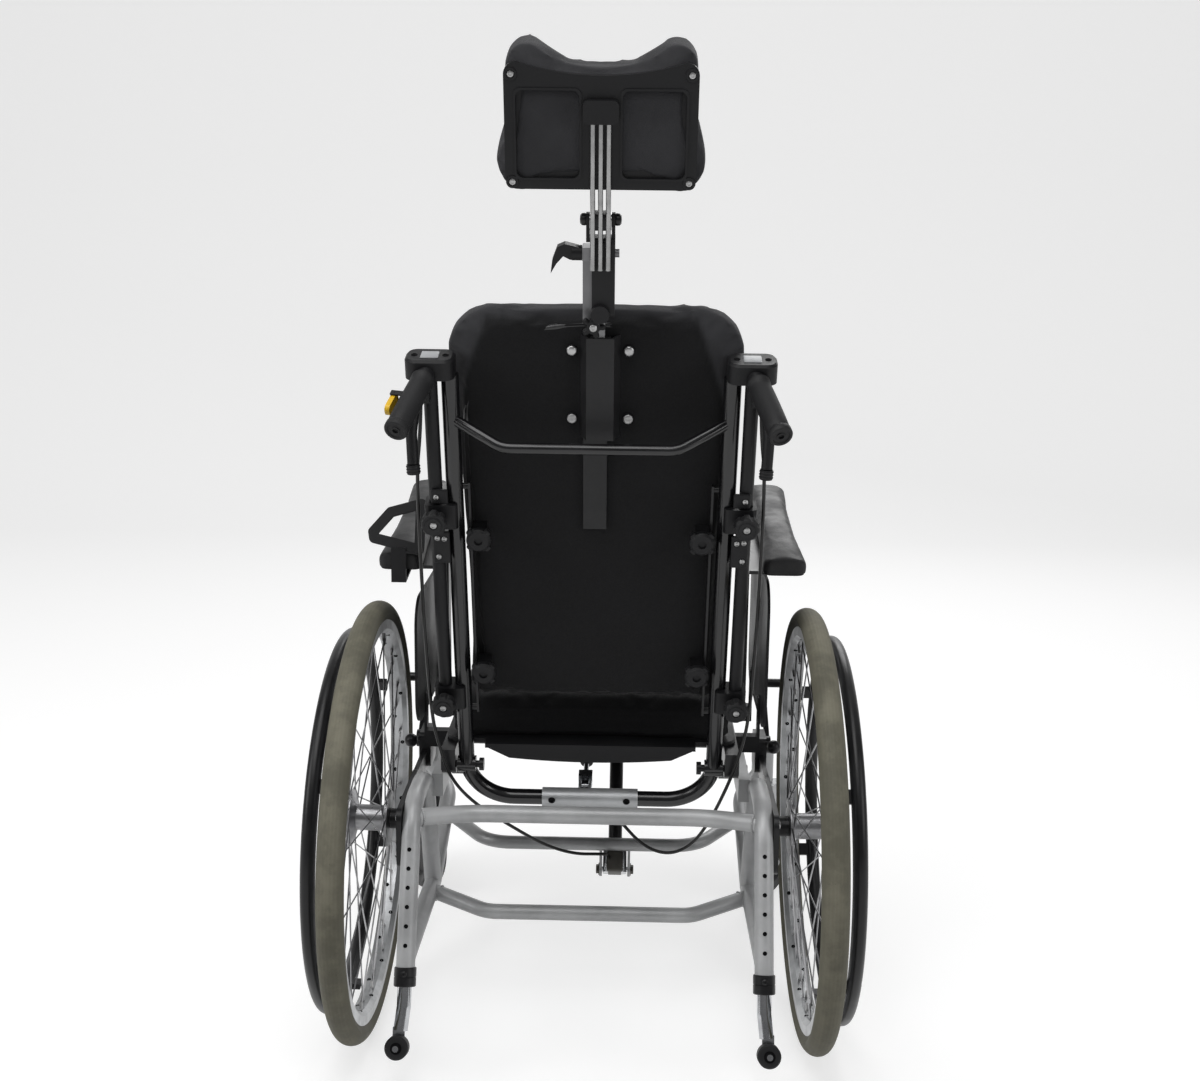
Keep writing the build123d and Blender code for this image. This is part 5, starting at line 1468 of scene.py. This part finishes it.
@dataclass
class Back:
    """Back frame, shell, cushion, clamps and bracket."""

    frame: Frame
    panel_top: float = 551.0
    panel_top_half: float = 130.0
    panel_low: float = 455.0
    panel_low_half: float = 162.0
    panel_side_half: float = 168.0
    panel_face: float = 34.0
    panel_edge: float = 7.0
    headrest_x: float = 11.0
    handle_x: float = 198.0
    shell_half: float = 157.0
    hook_x: float = 143.7
    hook_heights: tuple[float, float] = (58.0, 262.0)
    bracket_bolt_x: float = 35.0
    bracket_bolt_heights: tuple[float, float] = (423.0, 513.0)

    def build(self) -> None:
        """Dress the back and make its soft and small pieces."""
        dress = self.frame.dress
        dress(Finish.GLOSS, "back_frame")
        dress(Finish.DARK, "back_rails")
        dress(Finish.CHANNEL, "back_sleeve")
        dress(Finish.SHELL, "back_shell")
        dress(Finish.PLASTIC, "handle_clamps")
        dress(Finish.GREY_METAL, "headrest_bracket")
        for side in SIDES:
            for level in ("lower", "upper"):
                dress(Finish.RUBBER, f"{level}_knob_{side}")
                self.knob_face(level, side)
        self.cushion()
        self.arch_bead()
        self.bracket_bolts()
        self.post_knob()
        self.latches()
        self.clamp_plates()
        self.sleeve_screws()

    def upright(self, x: float, y: float, z: float) -> Matrix:
        """Place on the back given upright in millimetres, with +Z pointing backwards."""
        spot = self.frame.back @ Matrix.Translation(Vector((x, y, z)) * MM)
        return spot @ Matrix.Rotation(math.pi / 2, 4, "X")

    def cushion(self) -> None:
        """Back cushion with the darker panel and its seams."""
        maker = PaddedCover(self.frame, "back_cushion", "back_cushion_cover", "back", Finish.COVER)
        piece = maker.build()
        on = self.frame.on_back
        for sign in SIDES.values():
            corners = [on(0, 22, self.panel_top), on(sign * self.panel_top_half, 22, self.panel_top),
                       on(sign * self.panel_low_half, 22, self.panel_low), on(sign * 166, 22, 200),
                       on(sign * 160, 22, 0)]
            Seam(surface_line(piece, corners, 10), width=4 * MM, depth=1.6 * MM).sew(piece)
        self.mark_panel(piece)
        maker.finish_off(piece)

    def mark_panel(self, piece: bpy.types.Object) -> None:
        """Mark the darker panel on the back face of the cushion.

        Args:
            piece: the cover.
        """
        upright = self.frame.back.inverted()
        marks = piece.data.attributes.new("panel", "FLOAT", "POINT")
        for index, vert in enumerate(piece.data.vertices):
            spot = upright @ vert.co
            x, y, z = (value / MM for value in spot)
            share = (self.panel_top - z) / (self.panel_top - self.panel_low)
            half = self.panel_top_half + (self.panel_low_half - self.panel_top_half) * share
            inset = min(self.panel_top - z, min(half, self.panel_side_half) - abs(x), self.panel_face - y)
            marks.data[index].value = min(max(0.5 + inset / self.panel_edge, 0.0), 1.0)

    def arch_bead(self) -> None:
        """Soft bead along the arched top edge of the shell, in a lighter grey than the shell that paints a
        highlight along it.
        """
        half, on = self.shell_half, self.frame.on_back
        side = arc_points((half, 425), (140, 476), (92, 528), 6)
        top = arc_points((92, 528), (0, 543), (-92, 528), 8)
        other = [(-x, z) for x, z in reversed(side)]
        line = [on(x, 16.5, z) for x, z in [(half, 405), *side, *top[1:-1], *other, (-half, 405)]]
        piping(self.frame, "shell_edge_bead", line, 4.4 * MM, Finish.BEAD, "back")

    def clamp_plates(self) -> None:
        """Screwed plates above and below the upper clamp of each cane, with their bright screws."""
        plates, bolts = bmesh.new(), bmesh.new()
        for sign in SIDES.values():
            for height, length in ((322, 20), (249, 46)):
                centre = self.frame.back @ Matrix.Translation(
                    Vector((sign * (self.handle_x - 6), -15.6, height)) * MM)
                rounded_block(plates, (22 * MM, 5 * MM, length * MM), centre, 2 * MM, 3)
            for x, height in ((-2, 322), (-10, 262), (-1, 263), (-2, 236)):
                seat = self.upright(sign * (self.handle_x + x), -18.0, height)
                dome_bolt(bolts, seat, 3.6 * MM, 2.4 * MM, 1.7 * MM)
        self.frame.add("clamp_plates", plates, Finish.PLASTIC, "back", "black_plastic")
        self.frame.add("clamp_plate_screws", bolts, Finish.BOLT, "back", "silver_metal")

    def bracket_bolts(self) -> None:
        """Four domed bolts on the headrest bracket."""
        form = bmesh.new()
        for x in (-self.bracket_bolt_x, self.bracket_bolt_x):
            for z in self.bracket_bolt_heights:
                dome_bolt(form, self.upright(x + self.headrest_x, 6.8, z), 6.4 * MM, 3.4 * MM)
        self.frame.add("bracket_bolts", form, Finish.BOLT, "back", "silver_metal")

    def post_knob(self) -> None:
        """Star knob that clamps the headrest post."""
        form = bmesh.new()
        base = self.upright(3, -4, 553)
        lathe(form, in_mm((0, 0), (6, 0), (6, 9), (0, 9)), base, 20)
        for index in range(5):
            turn = Matrix.Rotation(math.radians(index * 72), 4, "Z")
            arm = base @ turn @ Matrix.Translation((8 * MM, 0, 14 * MM))
            rounded_block(form, (14 * MM, 7.5 * MM, 9 * MM), arm, 3.4 * MM, 4)
        lathe(form, in_mm((0, 8), (9, 8), (9.5, 12), (8, 19), (0, 20)), base, 24)
        self.frame.add("post_knob", form, Finish.PLASTIC, "back", "black_plastic")
        form = bmesh.new()
        dome_bolt(form, base @ Matrix.Translation((0, 0, 19.8 * MM)), 4.5 * MM, 1.8 * MM, 2 * MM)
        self.frame.add("post_knob_screw", form, Finish.BOLT, "back", "silver_metal")

    def latches(self) -> None:
        """Round latches over the shell's four hooks."""
        form = bmesh.new()
        for sign in SIDES.values():
            for z in self.hook_heights:
                seat = self.upright(sign * self.hook_x, -13.2, z)
                lathe(form, in_mm((0, 0), (15, 0), (16, 2), (16, 8), (13, 11), (5.5, 11), (5.5, 8),
                                  (0, 8)), seat, 32)
                for index in range(4):
                    turn = Matrix.Rotation(math.radians(45 + index * 90), 4, "Z")
                    lug = seat @ turn @ Matrix.Translation((15 * MM, 0, 5 * MM))
                    rounded_block(form, (8 * MM, 9 * MM, 8 * MM), lug, 2 * MM, 2)
        self.frame.add("shell_latches", form, Finish.PLASTIC, "back", "black_plastic")

    def knob_face(self, level: str, side: str) -> None:
        """Raised ring and screw on a clamp knob."""
        joint = self.frame.joint(f"{level}_knob_turn_{side}")
        axis = Vector(joint["axis"]).normalized()
        seat = Vector(joint["pos_m"]) + axis * 13 * MM
        where = along(seat, seat + axis)
        form = bmesh.new()
        lathe(form, in_mm((5, -0.4), (10.5, -0.4), (10, 1.4), (6, 1.4), (5, -0.4)), where, 32)
        self.frame.add(f"{level}_knob_ring_{side}", form, Finish.RUBBER, f"{level}_knob_{side}",
                       "black_plastic")
        form = bmesh.new()
        dome_bolt(form, where, 4.4 * MM, 1.6 * MM, 2.1 * MM)
        self.frame.add(f"{level}_knob_screw_{side}", form, Finish.BOLT, f"{level}_knob_{side}",
                       "silver_metal")

    def sleeve_screws(self) -> None:
        """Two dark screws through the light sleeve."""
        form = bmesh.new()
        for x in (-54, 52):
            dome_bolt(form, self.upright(x, -13.6, -159), 5 * MM, 2.6 * MM, 2.2 * MM)
        self.frame.add("sleeve_screws", form, Finish.DEEP, "back", "black_metal")


@dataclass
class PushHandle:
    """Push handle: rubber grip, cap plate and release lever of one side."""

    frame: Frame
    side: str
    handle_x: float = 198.0
    handle_top: float = 494.0
    cap_depth: float = 44.0
    out_angle: float = math.radians(13.5)
    drop_angle: float = math.radians(33.5)
    start: float = 16.0
    length: float = 100.0
    radius: float = 14.5

    @property
    def sign(self) -> int:
        """-1 on the left, 1 on the right."""
        return SIDES[self.side]

    @property
    def axis(self) -> Matrix:
        """Place of the grip, with +Z along it towards its end."""
        foot = Vector((self.sign * self.handle_x, 4 - self.cap_depth / 2, self.handle_top))
        spot = Matrix.Translation(foot * MM)
        swing = Matrix.Rotation(self.sign * self.out_angle, 4, "Z")
        droop = Matrix.Rotation(math.pi / 2 + self.drop_angle - self.frame.lean, 4, "X")
        return self.frame.back @ spot @ swing @ droop

    def build(self) -> None:
        """Dress the handle and add its pieces."""
        side = self.side
        self.frame.dress(Finish.PLASTIC, "push_handle_" + side, "release_lever_" + side)
        self.grip()
        self.cap_plate()
        self.lever_details()

    def grip(self) -> None:
        """Rubber grip with shallow rings, a flange and a closed end."""
        form = bmesh.new()
        outer = self.radius * MM
        start, end = self.start * MM, (self.start + self.length) * MM
        outline = [(11.1 * MM, start), (outer - 1.2 * MM, start), (outer, start + 1.2 * MM),
                   (outer, start + 7 * MM), (outer - 0.9 * MM, start + 8.5 * MM)]
        for share in (0.16, 0.3, 0.46, 0.62, 0.76):
            radius = outer - 0.9 * MM + 0.7 * MM * math.sin(math.pi * share)
            outline.append((radius, start + share * self.length * MM))
        outline += [(outer - 0.7 * MM, end - 12 * MM), (outer - 1.1 * MM, end - 10.6 * MM),
                    (outer, end - 9 * MM), (outer, end - 2.5 * MM), (outer - 0.8 * MM, end - 0.7 * MM),
                    (outer - 2.5 * MM, end), (outer - 4 * MM, end - 0.4 * MM),
                    (outer - 4.6 * MM, end - 1.4 * MM), (5.6 * MM, end - 1.4 * MM),
                    (5.2 * MM, end - 0.4 * MM), (3.6 * MM, end - 0.4 * MM), (3.3 * MM, end - 3 * MM),
                    (0, end - 3 * MM)]
        lathe(form, outline, self.axis, 48)
        if self.side == "left":
            self.lever_ears(form)
        piece = self.frame.add("grip_cover_" + self.side, form, Finish.RUBBER, "handle_" + self.side,
                               "grip_rubber")
        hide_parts("grip_" + self.side)

    def lever_ears(self, form: bmesh.types.BMesh) -> None:
        """Add the two ears and the pin that carry the yellow lever.

        Args:
            form: the grip's form, which grows.
        """
        x = self.sign * 21.5 * MM
        z = (self.start + 0.42 * self.length) * MM
        for y in (-8.7 * MM, 8.7 * MM):
            ear = self.axis @ Matrix.Translation((x - self.sign * 4 * MM, y, z))
            rounded_block(form, (16 * MM, 2.6 * MM, 8 * MM), ear, 1 * MM, 3)
        first, last = (self.axis @ Vector((x, way * 10.4 * MM, z)) for way in (-1, 1))
        rod(form, first, last, 2 * MM, 16, 0.4 * MM)

    def cap_plate(self) -> None:
        """Light square plate on top of the handle's cap, left bare."""
        form = bmesh.new()
        top = self.handle_top + 16
        middle = self.sign * (self.handle_x - 2)
        spot = self.frame.back @ Matrix.Translation(Vector((middle, -7, top)) * MM)
        rounded_block(form, (22 * MM, 21 * MM, 2.2 * MM), spot, 0.9 * MM, 3)
        self.frame.add("cap_plate_" + self.side, form, Finish.LABEL_GREY, "handle_" + self.side,
                       "black_plastic")
        form = bmesh.new()
        for offset in (-19, 19):
            seat = self.frame.back @ Matrix.Translation(Vector((middle + offset, -7, top - 0.1)) * MM)
            dome_bolt(form, seat, 4 * MM, 1.3 * MM, 2 * MM)
        self.frame.add("cap_screws_" + self.side, form, Finish.DEEP, "handle_" + self.side, "black_metal")

    def lever_details(self) -> None:
        """Two rivets, a ribbed tip and a hinge screw on the release lever."""
        ribs, rivets = bmesh.new(), bmesh.new()
        tip = (self.handle_x + 18, -60, self.handle_top - 106)
        end = (self.handle_x + 17.4, -62, self.handle_top - 118)
        low, high = (self.frame.on_back(self.sign * x, y, z) for x, y, z in (tip, end))
        where = along(low, high)
        for step in range(3):
            base = (1.5 + 3.6 * step) * MM
            lathe(ribs, [(6 * MM, base), (8.6 * MM, base + 0.2 * MM), (8.9 * MM, base + 1.0 * MM),
                         (8.6 * MM, base + 1.8 * MM), (6 * MM, base + 2.0 * MM), (6 * MM, base)], where, 28)
        pivot = Vector((self.handle_x + 16, -18, self.handle_top - 30))
        knee = Vector((self.handle_x + 20, -46, self.handle_top - 70))
        for share in (0.28, 0.62):
            spot = pivot.lerp(knee, share)
            seat = self.frame.on_back(self.sign * spot.x, spot.y - 5.5, spot.z + 3.9)
            out = self.frame.on_back(self.sign * spot.x, spot.y - 6.4, spot.z + 4.5)
            dome_bolt(rivets, along(seat, out), 2.6 * MM, 1.5 * MM)
        self.frame.add("release_lever_ribs_" + self.side, ribs, Finish.RUBBER, "release_lever_" + self.side,
                       "black_plastic")
        self.frame.add("release_lever_rivets_" + self.side, rivets, Finish.BOLT, "release_lever_" + self.side,
                       "silver_metal")


# ---------------------------------------------------------------- headrest


@dataclass
class Headrest:
    """Headrest: pad, plate with screws, rods, jointed block and lever."""

    frame: Frame
    centre_x: float = 11.0
    screw_places: tuple[tuple[float, float], ...] = ((-100, 728), (100, 728), (-100, 847), (100, 847))
    plate_back: float = -26.6
    block_y: float = -6.0
    rod_pivot: float = 680.0

    def build(self) -> None:
        """Dress the headrest and add its pieces."""
        dress = self.frame.dress
        dress(Finish.PLASTIC, "headrest_plate", "headrest_block", "headrest_lever")
        dress(Finish.ROD, "headrest_rods")
        dress(Finish.POST, "headrest_post")
        maker = PaddedCover(self.frame, "headrest_pad", "headrest_cover", "headrest", Finish.COVER,
                            cap=8 * MM, shrink=2 * MM, voxel=4 * MM)
        maker.finish_off(maker.build())
        self.screws()
        self.rod_clamp()
        self.side_knobs()

    def screws(self) -> None:
        """Cup-headed screws at the plate's corners."""
        form = bmesh.new()
        heads = bmesh.new()
        for x, z in self.screw_places:
            spot = self.frame.back @ Matrix.Translation(Vector((x + self.centre_x, self.plate_back, z)) * MM)
            seat = spot @ Matrix.Rotation(math.pi / 2, 4, "X")
            lathe(form, in_mm((4, -0.5), (7.5, -0.5), (7, 1.6), (4.6, 1.6), (4, -0.5)), seat, 28)
            dome_bolt(heads, seat, 4 * MM, 1.4 * MM, 1.9 * MM)
        self.frame.add("plate_cups", form, Finish.PLASTIC, "headrest", "black_plastic")
        self.frame.add("plate_cup_screws", heads, Finish.BOLT, "headrest", "silver_metal")

    def rod_clamp(self) -> None:
        """Dark moulding over the clamp that holds the three rods."""
        form = bmesh.new()
        middle = Vector((self.centre_x, self.block_y - 4.6, self.rod_pivot)) * MM
        rounded_block(form, (25.8 * MM, 26.4 * MM, 19.2 * MM), self.frame.back @ Matrix.Translation(middle),
                      4.8 * MM, 4)
        self.frame.add("rod_clamp_cover", form, Finish.PLASTIC, "headrest", "black_plastic")

    def side_knobs(self) -> None:
        """Round nuts at both ends of the rods' pivot pin."""
        joint = self.frame.joint("headrest_angle")
        middle = Vector(joint["pos_m"])
        middle.x = self.centre_x * MM
        form = bmesh.new()
        for way in (-1, 1):
            start = middle + Vector((way * 17.0 * MM, 0, 0))
            where = along(start, start + Vector((way, 0, 0)))
            lathe(form, in_mm((0, 0), (7, 0), (7.6, 1.4), (7.2, 5), (5, 7), (0, 7.4)), where, 10)
        self.frame.add("pivot_nuts", form, Finish.DARK, "headrest_block", "black_metal")


# ---------------------------------------------------------------- cables


@dataclass
class ReleaseCables:
    """The two release cables, from the handles down the canes to the gas springs."""

    frame: Frame
    radius: float = 2.4 * MM
    left_length: float = 0.923
    right_length: float = 0.904

    def route(self, side: str) -> list[Vector]:
        """Points of one cable's route.

        Args:
            side: "left" or "right".

        Returns:
            The route, from the handle down.
        """
        at, on = self.frame.at, self.frame.on_back
        sign = SIDES[side]
        down = [on(sign * 209, -15.5, 453.4), on(sign * 211, -18, 412), on(sign * 221, -14, 345),
                on(sign * 220.5, -15, 0), at(sign * 207, -6, 408), at(sign * 194, 6, 362)]
        if side == "left":
            under_seat = ((-165, 30, 318), (-121, 60, 276), (-70, 100, 228), (-26, 128, 202),
                          (12, 146, 195), (28, 160, 189), (28, 180.3, 174.8))
            return down + [at(*point) for point in under_seat]
        under_seat = ((172, 36, 296), (148, 60, 248), (114, 74, 226), (76, 84, 236),
                      (42, 92, 272), (10, 98, 300), (-4, 98, 321.4))
        return down + [at(*point) for point in under_seat]

    def build(self) -> None:
        """Make both cables in place of their CAD node."""
        for side, length in (("left", self.left_length), ("right", self.right_length)):
            points = self.route(side)
            curve = cord_curve("release_cable_" + side, points, self.radius, 3, 12)
            cable = bpy.data.objects.new("release_cable_" + side, curve)
            self.frame.place(cable, Finish.SHEATH, "back", "cable_sheath")
            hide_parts("release_cables")
            tuple(points[0])
            2 * self.radius


# ---------------------------------------------------------------- main


def main() -> None:
    """Build every sub-assembly in order."""
    frame = Frame(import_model())
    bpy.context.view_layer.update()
    Studio().build()
    ReleaseCables(frame).build()
    for side in SIDES:
        DriveWheel(frame, side).build()
    Chassis(frame).build()
    Seat(frame).build()
    Back(frame).build()
    for side in SIDES:
        PushHandle(frame, side).build()
    frame.dress(Finish.YELLOW, "tilt_lever")
    Headrest(frame).build()


if __name__ == "__main__":
    logging.basicConfig(level=logging.INFO, format="%(message)s")
    main()
